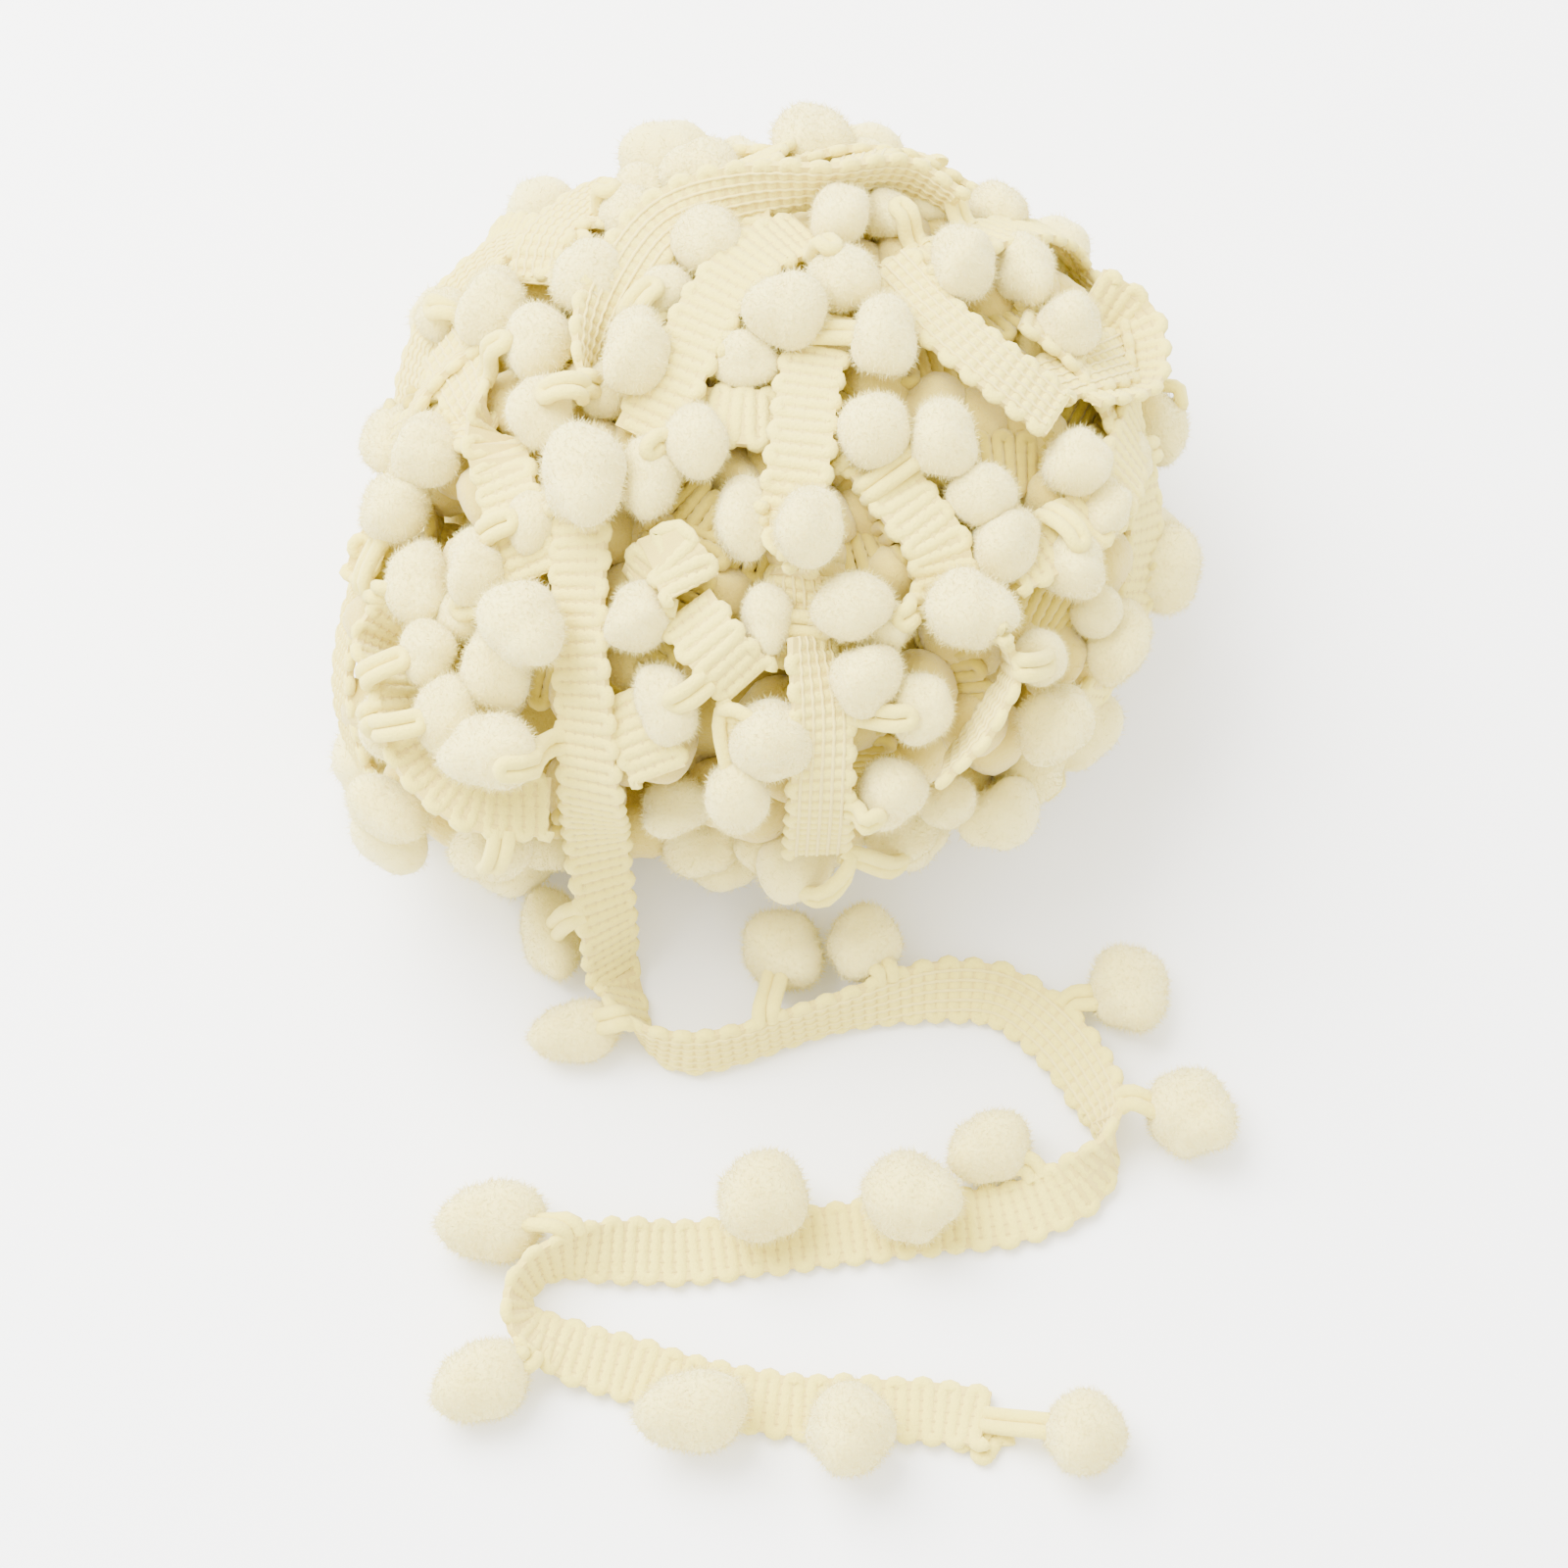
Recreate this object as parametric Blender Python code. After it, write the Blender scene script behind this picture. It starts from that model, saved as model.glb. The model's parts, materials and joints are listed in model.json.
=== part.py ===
"""Pompom fringe trim: a ribbed woven tape with felted pompoms along one edge, wound into a loose, squat
ball, with its last half metre run out on the table in an S. Metres, +Z up. The origin is the middle of
the flat spot that the ball rests on; the loose end runs out towards -Y.

Places that were read off the photograph are given as its pixels, across and down, and view_ray() turns
them into points in space. Real sizes are in metres and are named here."""

import math
import bpy
import bmesh
import numpy as np

MM = 0.001

# Tape, loops and pompoms
TAPE_WIDTH = 11.0 * MM
TAPE_THICK = 2.0 * MM
RIB_PITCH = 2.2 * MM
RIB_HEIGHT = 0.35 * MM
SCALLOP_DEPTH = 0.45 * MM
EDGE_ROUND = 0.8 * MM
YARN_WIDTH = 2.1 * MM
YARN_THICK = 1.7 * MM
YARN_APART = 2.5 * MM
LOOP_REACH = 2.6 * MM
LOOP_RISE = 1.3 * MM
LOOP_LAP = 0.3 * MM
FIT_GAP = 0.35 * MM
WAIST_PINCH = 0.07

# The ball: its wound body, without the pompoms that stand out of it, and a slack lobe at its near left.
# Each has the place of its middle and its half sizes across, deep, above and below the middle.
BODY = {"middle": np.array([0.0, 0.0, 42.0]) * MM, "half": np.array([64.0, 60.0, 39.0, 44.0]) * MM}
LOBE = {"middle": np.array([-43.0, -33.0, 31.0]) * MM, "half": np.array([31.0, 28.0, 27.0, 30.5]) * MM}
BODY_POWER = 2.3
LOBE_BLEND = 10
FOOT_TRIM = 0.6 * MM
SLAB_HALF = 40 * MM
SLAB_THICK = 10 * MM
STRIP_THICK = 2.6 * MM
SKIN_GRAIN = 1.15 * MM
WELD = 0.01 * MM
SKIN_SHARE = 0.0360

# How the photograph sees it: the point on the table at the picture's middle, and the scale there
PICTURE_MIDDLE = 800.0
MM_PER_PIXEL = 0.176
VIEW_ELEVATION = math.radians(68.0)
VIEW_DISTANCE = 0.80
AIM = np.array([1.7, -37.0, 0.0]) * MM
FORWARD = np.array([0.0, math.cos(VIEW_ELEVATION), -math.sin(VIEW_ELEVATION)])
UPWARD = np.array([0.0, math.sin(VIEW_ELEVATION), math.cos(VIEW_ELEVATION)])
EYE = AIM - VIEW_DISTANCE * FORWARD
UP = np.array([0.0, 0.0, 1.0])

# The tape's loose end, whose first stretch lies against the ball.
# On the ball: across, down, lift off the wound body in mm, roll in degrees
TAPE_ON_BALL = 120 * MM
BAND_ON_BALL = [
    (592, 442, 4.0, 0), (592, 490, 3.8, -8), (592, 560, 3.8, -15), (590, 640, 3.8, -18),
    (596, 720, 4.0, -15), (602, 800, 4.2, -8),
]
# From the ball down to the table: across, down, height in mm, roll
BAND_HANGING = [(610, 868, 24.0, 12), (620, 945, 12.0, 32)]
# On the table: across, down, roll. 0 is face up, 180 is face down, 90 is on edge with the pompoms up.
TAPE_ON_TABLE = [
    (630, 1004, 40), (644, 1036, 60), (660, 1058, 88), (700, 1074, 108), (745, 1068, 106), (800, 1050, 104),
    (880, 1026, 112), (960, 1010, 148), (1020, 1016, 172), (1072, 1050, 164), (1108, 1095, 150),
    (1130, 1140, 118), (1130, 1172, 72), (1098, 1210, 30), (1040, 1236, 8), (950, 1248, 0),
    (800, 1266, 0), (690, 1278, 4), (625, 1276, 28), (582, 1280, 62), (545, 1296, 74),
    (528, 1322, 72), (536, 1350, 50), (575, 1376, 14), (640, 1396, 0), (720, 1420, 0),
    (800, 1434, 0), (900, 1438, 0), (980, 1444, 4), (1012, 1450, 10),
]

# Pompoms of the loose end: across, down, length and width in mm, turn of the long axis in degrees,
# what it lies on, and the pixel where its loop leaves the tape. The first of them are at the ball.
POMPOMS_AT_BALL = 5
BAND_LIFT = 4.4 * MM
LOOSE_POMPOMS = [
    (590, 487, 17.0, 13.5, 95, "band", 560, 520), (530, 642, 15.0, 13.0, 130, "ball", 560, 628),
    (497, 765, 16.5, 12.5, 8, "ball", 568, 757), (560, 954, 16.5, 10.5, 98, "table", 600, 928),
    (585, 1049, 15.5, 10.5, 10, "table", 641, 1030), (797, 973, 14.8, 13.4, 120, "table", 782, 1034),
    (877, 962, 13.2, 12.4, 60, "tape", 908, 998), (1149, 1011, 15.0, 13.5, 100, "table", 1098, 1015),
    (1214, 1139, 15.5, 14.5, 130, "table", 1158, 1122), (1006, 1168, 14.5, 12.0, 25, "table", 1056, 1204),
    (930, 1226, 16.5, 15.0, 160, "tape", 932, 1216), (773, 1219, 15.5, 15.0, 40, "tape", 790, 1236),
    (500, 1241, 18.0, 13.5, 5, "table", 590, 1262), (487, 1406, 16.5, 13.0, 25, "table", 546, 1384),
    (704, 1434, 18.5, 13.5, 5, "tape", 660, 1436), (862, 1458, 15.0, 14.5, 70, "tape", 842, 1470),
    (1102, 1461, 13.5, 13.5, 60, "table", 1045, 1480),
]

# Main runs of tape on the ball: across, down, lift in mm, roll
BALL_STRIPS = {
    "wrap_top_left": [(590, 408, 4, 60), (600, 355, 5, 100), (633, 282, 6, 150), (684, 222, 6, 150),
                      (760, 196, 7, 110), (840, 188, 8, 80), (930, 184, 6, 70), (975, 208, 4, 60)],
    "arch": [(655, 447, 3, 0), (688, 384, 5, 0), (726, 312, 6, 0), (774, 258, 6, 0), (830, 236, 3, 0)],
    "middle_run": [(840, 322, 3, 0), (826, 390, 5, 0), (814, 480, 6, 0), (807, 530, 4, 0),
                   (812, 590, 0, 150), (804, 690, -1, 150)],
    "right_run": [(905, 272, 2, 150), (948, 318, 5, 180), (1012, 372, 7, 180), (1080, 424, 7, 180)],
    "left_run": [(452, 352, 2, 180), (482, 412, 3, 160), (512, 475, 4, 10), (528, 545, 3, 0),
                 (548, 596, 1, 0)],
    "left_hem": [(412, 624, 3, 60), (384, 655, 3, 90), (401, 700, 4, 80), (424, 768, 5, 70),
                 (480, 816, 6, 60), (560, 824, 4, 50)],
    "short_end": [(636, 706, 2, 0), (652, 748, 4, 0), (674, 790, 5, 0)],
    "fold_upper": [(654, 604, 2, 20), (684, 566, 6, 0), (706, 600, 6, 20)],
    "fold_lower": [(700, 620, 3, 0), (728, 660, 6, 0), (768, 700, 3, 0)],
    "slant_run": [(880, 455, 1, 0), (925, 514, 3, 0), (958, 560, 3, 0), (966, 612, 1, 0)],
    "bottom_run": [(826, 650, 1, 230), (838, 720, 4, 200), (838, 800, 6, 180), (833, 872, 5, 180)],
    "right_hem": [(1018, 640, 5, 70), (1034, 676, 6, 75), (1010, 730, 6, 80), (962, 790, 5, 60)],
    "right_curl": [(1100, 400, 3, 40), (1158, 388, 3, 70), (1150, 326, 4, 80), (1112, 300, 2, 60)],
    "top_curl": [(872, 186, 5, 200), (905, 156, 3, 180), (948, 176, 2, 150)],
    "far_left_run": [(632, 186, 2, 180), (590, 212, 3, 180), (552, 252, 4, 180), (545, 290, 1, 180)],
    "small_run": [(706, 424, 1, 0), (752, 426, 3, 0), (806, 430, 1, 0)],
    "left_curl": [(400, 545, -2, 60), (362, 556, 0, 90), (362, 596, 0, 90), (402, 604, -2, 60)],
}

# Pompoms seen on the ball: across, down, length and width in pixels, turn, lift of the middle in mm
BALL_POMPOMS = [
    (712, 175, 80, 70, 20, 5), (656, 192, 60, 54, 0, 2), (643, 217, 66, 60, 0, 4),
    (600, 282, 92, 72, 60, 6), (502, 312, 90, 70, 85, 5), (454, 321, 64, 56, 60, 3),
    (544, 351, 80, 70, 80, 5), (550, 417, 80, 68, 80, 6), (723, 244, 80, 72, 10, 5),
    (679, 297, 62, 54, 10, 3), (649, 357, 95, 70, 80, 8), (622, 396, 66, 54, 90, 2),
    (800, 312, 84, 78, 0, 9), (762, 366, 68, 60, 0, 4), (708, 450, 85, 62, 105, 7),
    (382, 447, 74, 60, 80, 3), (435, 459, 78, 72, 90, 5), (404, 516, 78, 72, 100, 5),
    (658, 489, 85, 64, 85, 5), (757, 528, 88, 60, 92, 3), (541, 531, 75, 50, 90, 3),
    (424, 597, 90, 64, 85, 4), (484, 579, 78, 60, 90, 5), (471, 627, 60, 52, 90, 1),
    (433, 666, 66, 56, 80, 5), (504, 681, 88, 72, 100, 3), (453, 729, 90, 64, 80, 6),
    (394, 740, 80, 58, 100, 0), (651, 630, 74, 66, 60, 5), (679, 717, 95, 60, 115, 4),
    (780, 633, 72, 52, 90, 2), (788, 756, 86, 82, 0, 6), (750, 814, 92, 62, 95, 7),
    (715, 864, 88, 68, 10, 1), (785, 866, 72, 66, 0, 1), (396, 829, 102, 57, 5, 2),
    (501, 862, 82, 80, 0, 3), (574, 872, 66, 58, 90, 0), (823, 536, 84, 72, 80, 11),
    (870, 616, 90, 66, 20, 5), (883, 691, 80, 72, 30, 5), (904, 640, 60, 54, 0, 1),
    (939, 721, 78, 66, 120, 4), (991, 627, 94, 80, 165, 7), (1026, 552, 82, 68, 60, 4),
    (1002, 502, 78, 62, 20, 4), (1093, 576, 76, 72, 80, 3), (1128, 519, 68, 58, 70, 4),
    (1101, 471, 78, 66, 70, 5), (1201, 583, 87, 80, 90, 4), (1146, 657, 90, 60, 30, 3),
    (1062, 669, 60, 56, 0, 2), (1077, 738, 90, 82, 0, 4), (1074, 813, 82, 68, 75, 1),
    (970, 820, 66, 48, 80, 1), (907, 810, 78, 68, 70, 5), (927, 862, 78, 58, 20, 2),
    (1119, 621, 60, 54, 0, 0), (830, 135, 90, 78, 15, 4), (890, 138, 62, 56, 120, 1),
    (858, 217, 78, 58, 90, 7), (904, 219, 54, 50, 90, 3), (946, 206, 58, 52, 0, 1),
    (862, 283, 80, 68, 0, 6), (900, 342, 98, 68, 80, 8), (982, 267, 82, 72, 80, 7),
    (1020, 216, 68, 58, 0, 2), (1044, 276, 82, 64, 80, 3), (1093, 327, 72, 66, 60, 5),
    (889, 438, 85, 72, 80, 6), (960, 447, 90, 72, 80, 6), (1198, 432, 78, 66, 160, 3),
    (1165, 387, 46, 40, 90, 1), (1150, 466, 62, 54, 90, 0),
]

# The ball's far side, which the photograph hides, follows the same build
POMPOMS_ALL_ROUND = 150
HIDDEN_FACING = -0.10
HIDDEN_LOWEST = -0.62
HIDDEN_WINDINGS = 12
HIDDEN_SEED = 7
POMPOM_LENGTH = 15.0 * MM
POMPOM_WIDTH = 12.5 * MM

TAPE_COLOUR = (0.90, 0.84, 0.62)
POMPOM_COLOUR = (0.92, 0.88, 0.76)


def clear_scene():
    for item in list(bpy.data.objects):
        bpy.data.objects.remove(item, do_unlink=True)


def material(name, colour):
    made = bpy.data.materials.new(name)
    made.use_nodes = True
    shader = made.node_tree.nodes["Principled BSDF"]
    shader.inputs["Base Color"].default_value = (*colour, 1.0)
    shader.inputs["Roughness"].default_value = 0.9
    shader.inputs["Metallic"].default_value = 0.0
    return made


def unit(vector):
    return vector / np.linalg.norm(vector)


def view_ray(across, down):
    """Direction from the eye through a pixel of the photograph."""
    right = (across - PICTURE_MIDDLE) * MM_PER_PIXEL * MM
    rise = (PICTURE_MIDDLE - down) * MM_PER_PIXEL * MM
    return unit(FORWARD * VIEW_DISTANCE + np.array([right, 0.0, 0.0]) + rise * UPWARD)


def pixel_of(point):
    """Pixel where a point in space shows."""
    offset = point - EYE
    scale = VIEW_DISTANCE / (offset @ FORWARD) / (MM_PER_PIXEL * MM)
    return np.array([PICTURE_MIDDLE + offset[0] * scale, PICTURE_MIDDLE - (offset @ UPWARD) * scale])


def at_height(across, down, height):
    """Point at a height over the table that shows at a pixel."""
    ray = view_ray(across, down)
    return EYE + ray * ((height - EYE[2]) / ray[2])


def form_level(form, point, lift):
    """1 on the form's surface raised by lift, less inside it."""
    offset = point - form["middle"]
    across, deep, above, below = form["half"] + lift
    shares = np.abs(offset) / np.array([across, deep, above if offset[2] > 0 else below])
    return (shares ** BODY_POWER).sum() ** (1 / BODY_POWER)


def ball_level(point, lift=0.0):
    """The same for the ball's two forms together, blended where they meet."""
    levels = np.array([form_level(form, point, lift) for form in (BODY, LOBE)])
    return (np.maximum(levels, 0.05) ** -LOBE_BLEND).sum() ** (-1 / LOBE_BLEND)


def ball_normal(point):
    step = 0.2 * MM
    slope = [ball_level(point + step * axis) - ball_level(point - step * axis) for axis in np.eye(3)]
    return unit(np.array(slope))


def on_ball(across, down, lift, hug=False):
    """First point of the raised surface that a pixel's ray meets, or the nearest one where it misses.

    hug draws a point that misses in to the surface, for tape, which has nothing else to hold it."""
    ray = view_ray(across, down)
    reach = np.linspace(0.60, 0.95, 701)
    levels = [ball_level(EYE + ray * distance, lift) for distance in reach]
    inside = [place for place, level in enumerate(levels) if level <= 1.0]
    place = inside[0] if inside else int(np.argmin(levels))
    point = EYE + ray * reach[place]
    if hug and levels[place] > 1.0:
        point = BODY["middle"] + (point - BODY["middle"]) / levels[place]
    return point


def smooth_values(keys, values, places):
    """Smooth curve through values at keys, read at places."""
    values = np.asarray(values, dtype=float)
    slopes = np.gradient(values, keys, axis=0)
    found = np.clip(np.searchsorted(keys, places, side="right") - 1, 0, len(keys) - 2)
    span = keys[found + 1] - keys[found]
    part = (places - keys[found]) / span
    if values.ndim == 2:
        span, part = span[:, None], part[:, None]
    start = (1 + 2 * part) * (1 - part) ** 2 * values[found] + part * (1 - part) ** 2 * span * slopes[found]
    end = part ** 2 * (3 - 2 * part) * values[found + 1] + part ** 2 * (part - 1) * span * slopes[found + 1]
    return start + end


def tape_frames(points, normals, rolls, pitch):
    """Even stations along the tape: place, direction of travel, face normal and pompom-edge direction.

    normals point away from what the tape lies on, and roll turns the face from there."""
    points = np.asarray(points)
    keys = np.concatenate([[0.0], np.cumsum(np.linalg.norm(np.diff(points, axis=0), axis=1))])
    fine = np.linspace(0.0, keys[-1], 40 * len(points))
    curve = smooth_values(keys, points, fine)
    length = np.concatenate([[0.0], np.cumsum(np.linalg.norm(np.diff(curve, axis=0), axis=1))])
    count = max(3, int(round(length[-1] / pitch)) + 1)
    places = np.interp(np.linspace(0.0, length[-1], count), length, fine)
    centre = smooth_values(keys, points, places)
    away = smooth_values(keys, normals, places)
    roll = np.radians(smooth_values(keys, rolls, places))
    travel = np.gradient(centre, axis=0)
    frames = []
    for middle, ahead, out, turn in zip(centre, travel, away, roll):
        ahead = unit(ahead)
        out = unit(out - ahead * (out @ ahead))
        left = np.cross(out, ahead)
        face = out * math.cos(turn) + left * math.sin(turn)
        frames.append((middle, ahead, face, np.cross(ahead, face)))
    return frames


def ball_strip_frames(rows, pitch):
    points = [on_ball(across, down, lift * MM, hug=True) for across, down, lift, _ in rows]
    normals = [ball_normal(point) for point in points]
    return tape_frames(points, normals, [row[3] for row in rows], pitch)


def loose_tape_frames(pitch):
    """The loose end from the ball over the drop and along the table to its cut end."""
    points, normals, rolls = [], [], []
    for across, down, lift, roll in BAND_ON_BALL:
        points.append(on_ball(across, down, lift * MM))
        normals.append(ball_normal(points[-1]))
        rolls.append(roll)
    for across, down, height, roll in BAND_HANGING:
        points.append(at_height(across, down, height * MM))
        normals.append(unit(np.array([0.0, -0.75, 0.65])))
        rolls.append(roll)
    for across, down, roll in TAPE_ON_TABLE:
        turn = math.radians(roll)
        half_stand = 0.5 * (TAPE_WIDTH + SCALLOP_DEPTH) * abs(math.sin(turn))
        half_flat = (0.5 * TAPE_THICK + RIB_HEIGHT) * abs(math.cos(turn))
        points.append(at_height(across, down, half_stand + half_flat + FIT_GAP))
        normals.append(UP)
        rolls.append(roll)
    frames = tape_frames(points, normals, rolls, pitch)
    return [clear_of_table(*frame) for frame in frames]


def clear_of_table(middle, ahead, face, edge):
    """The same station of the tape, raised where its edge or face would touch the table."""
    reach = (0.5 * TAPE_WIDTH + SCALLOP_DEPTH) * abs(edge[2])
    corner = (0.5 * TAPE_WIDTH - EDGE_ROUND) * abs(edge[2]) + (0.5 * TAPE_THICK + RIB_HEIGHT) * abs(face[2])
    reach = max(reach, corner)
    return middle + UP * max(0.0, reach + 0.5 * FIT_GAP - middle[2]), ahead, face, edge


def mesh_object(name, vertices, faces, surface):
    mesh = bpy.data.meshes.new(name)
    mesh.from_pydata([tuple(vertex) for vertex in vertices], [], faces)
    mesh.validate()
    shape = bmesh.new()
    shape.from_mesh(mesh)
    bmesh.ops.recalc_face_normals(shape, faces=shape.faces)
    shape.to_mesh(mesh)
    shape.free()
    mesh.materials.append(surface)
    made = bpy.data.objects.new(name, mesh)
    bpy.context.collection.objects.link(made)
    return made


def loft(name, rings, surface):
    """Closed solid through rings of equal point counts, with flat ends."""
    count = len(rings[0])
    vertices = [point for ring in rings for point in ring]
    faces = [list(range(count))[::-1], [len(vertices) - count + step for step in range(count)]]
    for row in range(len(rings) - 1):
        for step in range(count):
            after = (step + 1) % count
            faces.append([row * count + step, row * count + after,
                          (row + 1) * count + after, (row + 1) * count + step])
    return mesh_object(name, vertices, faces, surface)


def hull(name, points, surface):
    """Smallest solid without hollows round a few points."""
    shape = bmesh.new()
    for point in points:
        shape.verts.new(point)
    found = bmesh.ops.convex_hull(shape, input=shape.verts)
    bmesh.ops.delete(shape, geom=list(set(found["geom_interior"] + found["geom_unused"])), context="VERTS")
    shape.verts.index_update()
    vertices = [tuple(vertex.co) for vertex in shape.verts]
    faces = [[vertex.index for vertex in face.verts] for face in shape.faces]
    shape.free()
    return mesh_object(name, vertices, faces, surface)


def plain_strip(name, frames, width, thick, surface):
    rings = []
    for middle, _, face, edge in frames:
        corners = [(-1, -1), (1, -1), (1, 1), (-1, 1)]
        rings.append([middle + edge * (0.5 * width * a) + face * (0.5 * thick * b) for a, b in corners])
    return loft(name, rings, surface)


def edge_reach(station):
    """Half width of the tape at a half-rib station: two ribs share each scallop, staggered by a rib."""
    inner = 0.5 * TAPE_WIDTH
    pompom_side = inner + SCALLOP_DEPTH * abs(math.sin(station * math.pi / 4))
    plain_side = inner + SCALLOP_DEPTH * abs(math.cos(station * math.pi / 4))
    return pompom_side, plain_side


def ribbed_tape(name, frames, surface):
    """The tape as a six-sided section that swells at each rib and at each scallop."""
    rings = []
    for station, (middle, _, face, edge) in enumerate(frames):
        pompom_side, plain_side = edge_reach(station)
        swell = 0.5 * TAPE_THICK + (RIB_HEIGHT if station % 2 else 0.0)
        flat = 0.5 * TAPE_WIDTH - EDGE_ROUND
        section = [(pompom_side, 0.0), (flat, swell), (-flat, swell),
                   (-plain_side, 0.0), (-flat, -swell), (flat, -swell)]
        rings.append([middle + edge * a + face * b for a, b in section])
    return loft(name, rings, surface)


def pompom_axes(turn, out):
    """Long axis as it shows in the photograph, and two axes across it."""
    angle = math.radians(turn)
    long_axis = np.array([math.cos(angle), 0.0, 0.0]) + UPWARD * math.sin(angle)
    long_axis = unit(long_axis - out * (long_axis @ out))
    return long_axis, np.cross(out, long_axis), out


def pompom_rings(centre, axes, length, width, around, along, depth=1.0):
    """Rings of an egg with a slight waist where its loop ties it, and its two end points."""
    long_axis, side, out = axes
    rings = []
    for row in range(1, along):
        place = -math.cos(math.pi * row / along)
        reach = 0.5 * width * math.sqrt(1 - place * place) * (1 - WAIST_PINCH * math.exp(-(place / 0.25) ** 2))
        ring = []
        for step in range(around):
            turn = 2 * math.pi * step / around
            across = side * math.cos(turn) + out * (depth * math.sin(turn))
            ring.append(centre + long_axis * (0.5 * length * place) + across * reach)
        rings.append(ring)
    ends = [centre - long_axis * 0.5 * length, centre + long_axis * 0.5 * length]
    return rings, ends


def pompom(name, centre, axes, length, width, around, along, surface, depth=1.0):
    rings, ends = pompom_rings(centre, axes, length, width, around, along, depth)
    vertices = [point for ring in rings for point in ring] + ends
    low, high = len(vertices) - 2, len(vertices) - 1
    faces = []
    for step in range(around):
        after = (step + 1) % around
        faces.append([low, after, step])
        last = (len(rings) - 1) * around
        faces.append([high, last + step, last + after])
        for row in range(len(rings) - 1):
            faces.append([row * around + step, row * around + after,
                          (row + 1) * around + after, (row + 1) * around + step])
    return mesh_object(name, vertices, faces, surface)


def hide_helper(helper):
    helper.hide_render = True
    helper.display_type = "WIRE"


def combine(target, helpers, operation):
    """Boolean of the target with all helpers at once."""
    group = bpy.data.collections.new(target.name + "_" + operation.lower())
    for helper in helpers:
        hide_helper(helper)
        group.objects.link(helper)
    modifier = target.modifiers.new(operation.title(), "BOOLEAN")
    modifier.operation = operation
    modifier.operand_type = "COLLECTION"
    modifier.collection = group
    modifier.solver = "EXACT"


def merge_shapes(name, shapes, surface):
    """One object that holds the closed shapes of all the others, which are removed."""
    merged = bmesh.new()
    for shape in shapes:
        merged.from_mesh(shape.data)
        bpy.data.objects.remove(shape, do_unlink=True)
    mesh = bpy.data.meshes.new(name)
    merged.to_mesh(mesh)
    merged.free()
    mesh.materials.append(surface)
    made = bpy.data.objects.new(name, mesh)
    bpy.context.collection.objects.link(made)
    return made


def shells_of(shape):
    """Groups of joined faces, the largest first."""
    groups, left = [], set(shape.faces)
    while left:
        front = [left.pop()]
        group = list(front)
        while front:
            face = front.pop()
            near = {other for edge in face.edges for other in edge.link_faces if other in left}
            left -= near
            front += near
            group += near
        groups.append(group)
    return sorted(groups, key=len, reverse=True)


def fuse(target, voxel, share):
    """Wraps overlapping shapes in one skin, thinned to a share of its faces."""
    wrap = target.modifiers.new("Wrap", "REMESH")
    wrap.mode = "VOXEL"
    wrap.voxel_size = voxel
    thin = target.modifiers.new("Thin out", "DECIMATE")
    thin.ratio = share
    thin.use_collapse_triangulate = True


def main_body(source, surface):
    """The finished shape as a plain mesh, without the crumbs left in its pockets and beside its cuts."""
    name = source.name
    shape = bmesh.new()
    shape.from_mesh(source.evaluated_get(bpy.context.evaluated_depsgraph_get()).to_mesh())
    bpy.data.objects.remove(source, do_unlink=True)
    bmesh.ops.remove_doubles(shape, verts=shape.verts, dist=WELD)
    bmesh.ops.dissolve_degenerate(shape, edges=shape.edges, dist=WELD)
    crumbs = [face for group in shells_of(shape)[1:] for face in group]
    bmesh.ops.delete(shape, geom=crumbs, context="FACES")
    bmesh.ops.delete(shape, geom=[edge for edge in shape.edges if edge.is_wire], context="EDGES")
    mesh = bpy.data.meshes.new(name)
    shape.to_mesh(mesh)
    shape.free()
    mesh.materials.append(surface)
    made = bpy.data.objects.new(name, mesh)
    bpy.context.collection.objects.link(made)
    return made


def wound_form(name, form, around, along, surface):
    """A squat rounded heap. Where it reaches the table its foot is level, a little below the table top."""
    across, deep, above, below = form["half"]
    reach_down = min(1.0, form["middle"][2] / below)
    lowest = -math.asin(reach_down ** (BODY_POWER / 2))
    rings = []
    for row in range(along):
        tilt = lowest + (0.5 * math.pi - lowest) * (row + 0.02) / along
        level = math.copysign(abs(math.sin(tilt)) ** (2 / BODY_POWER), tilt)
        height = form["middle"][2] + level * (above if tilt > 0 else below)
        spread = abs(math.cos(tilt)) ** (2 / BODY_POWER)
        ring = []
        for step in range(around):
            turn = 2 * math.pi * step / around
            lean = [math.copysign(abs(value) ** (2 / BODY_POWER), value)
                    for value in (math.cos(turn), math.sin(turn))]
            ring.append(np.array([form["middle"][0] + across * spread * lean[0],
                                  form["middle"][1] + deep * spread * lean[1],
                                  -FOOT_TRIM if row == 0 and reach_down < 1.0 else height]))
        rings.append(ring)
    return loft(name, rings, surface)


def outward_place(direction):
    """Point of the ball's surface in a direction from the wound body's middle."""
    reach = np.linspace(0.02, 0.11, 181)
    levels = [ball_level(BODY["middle"] + direction * distance) for distance in reach]
    outside = [place for place, level in enumerate(levels) if level >= 1.0]
    return BODY["middle"] + direction * reach[outside[0]]


def hidden_places(count):
    """Places spread evenly round the ball that face away from the photograph and clear the table."""
    places = []
    golden = math.pi * (3 - math.sqrt(5))
    for step in range(count):
        height = 1 - 2 * (step + 0.5) / count
        ring = math.sqrt(1 - height * height)
        direction = np.array([ring * math.cos(step * golden), ring * math.sin(step * golden), height])
        turned_away = direction @ -FORWARD < HIDDEN_FACING
        low_in_front = direction[1] < -0.4 and height < -0.12
        if (turned_away or low_in_front) and height > HIDDEN_LOWEST:
            places.append(outward_place(direction))
    return places


def half_height(axes, length, width):
    """How far a pompom reaches below its middle."""
    long_axis, side, out = axes
    return 0.5 * math.sqrt((length * long_axis[2]) ** 2 + (width * side[2]) ** 2 + (width * out[2]) ** 2)


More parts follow.
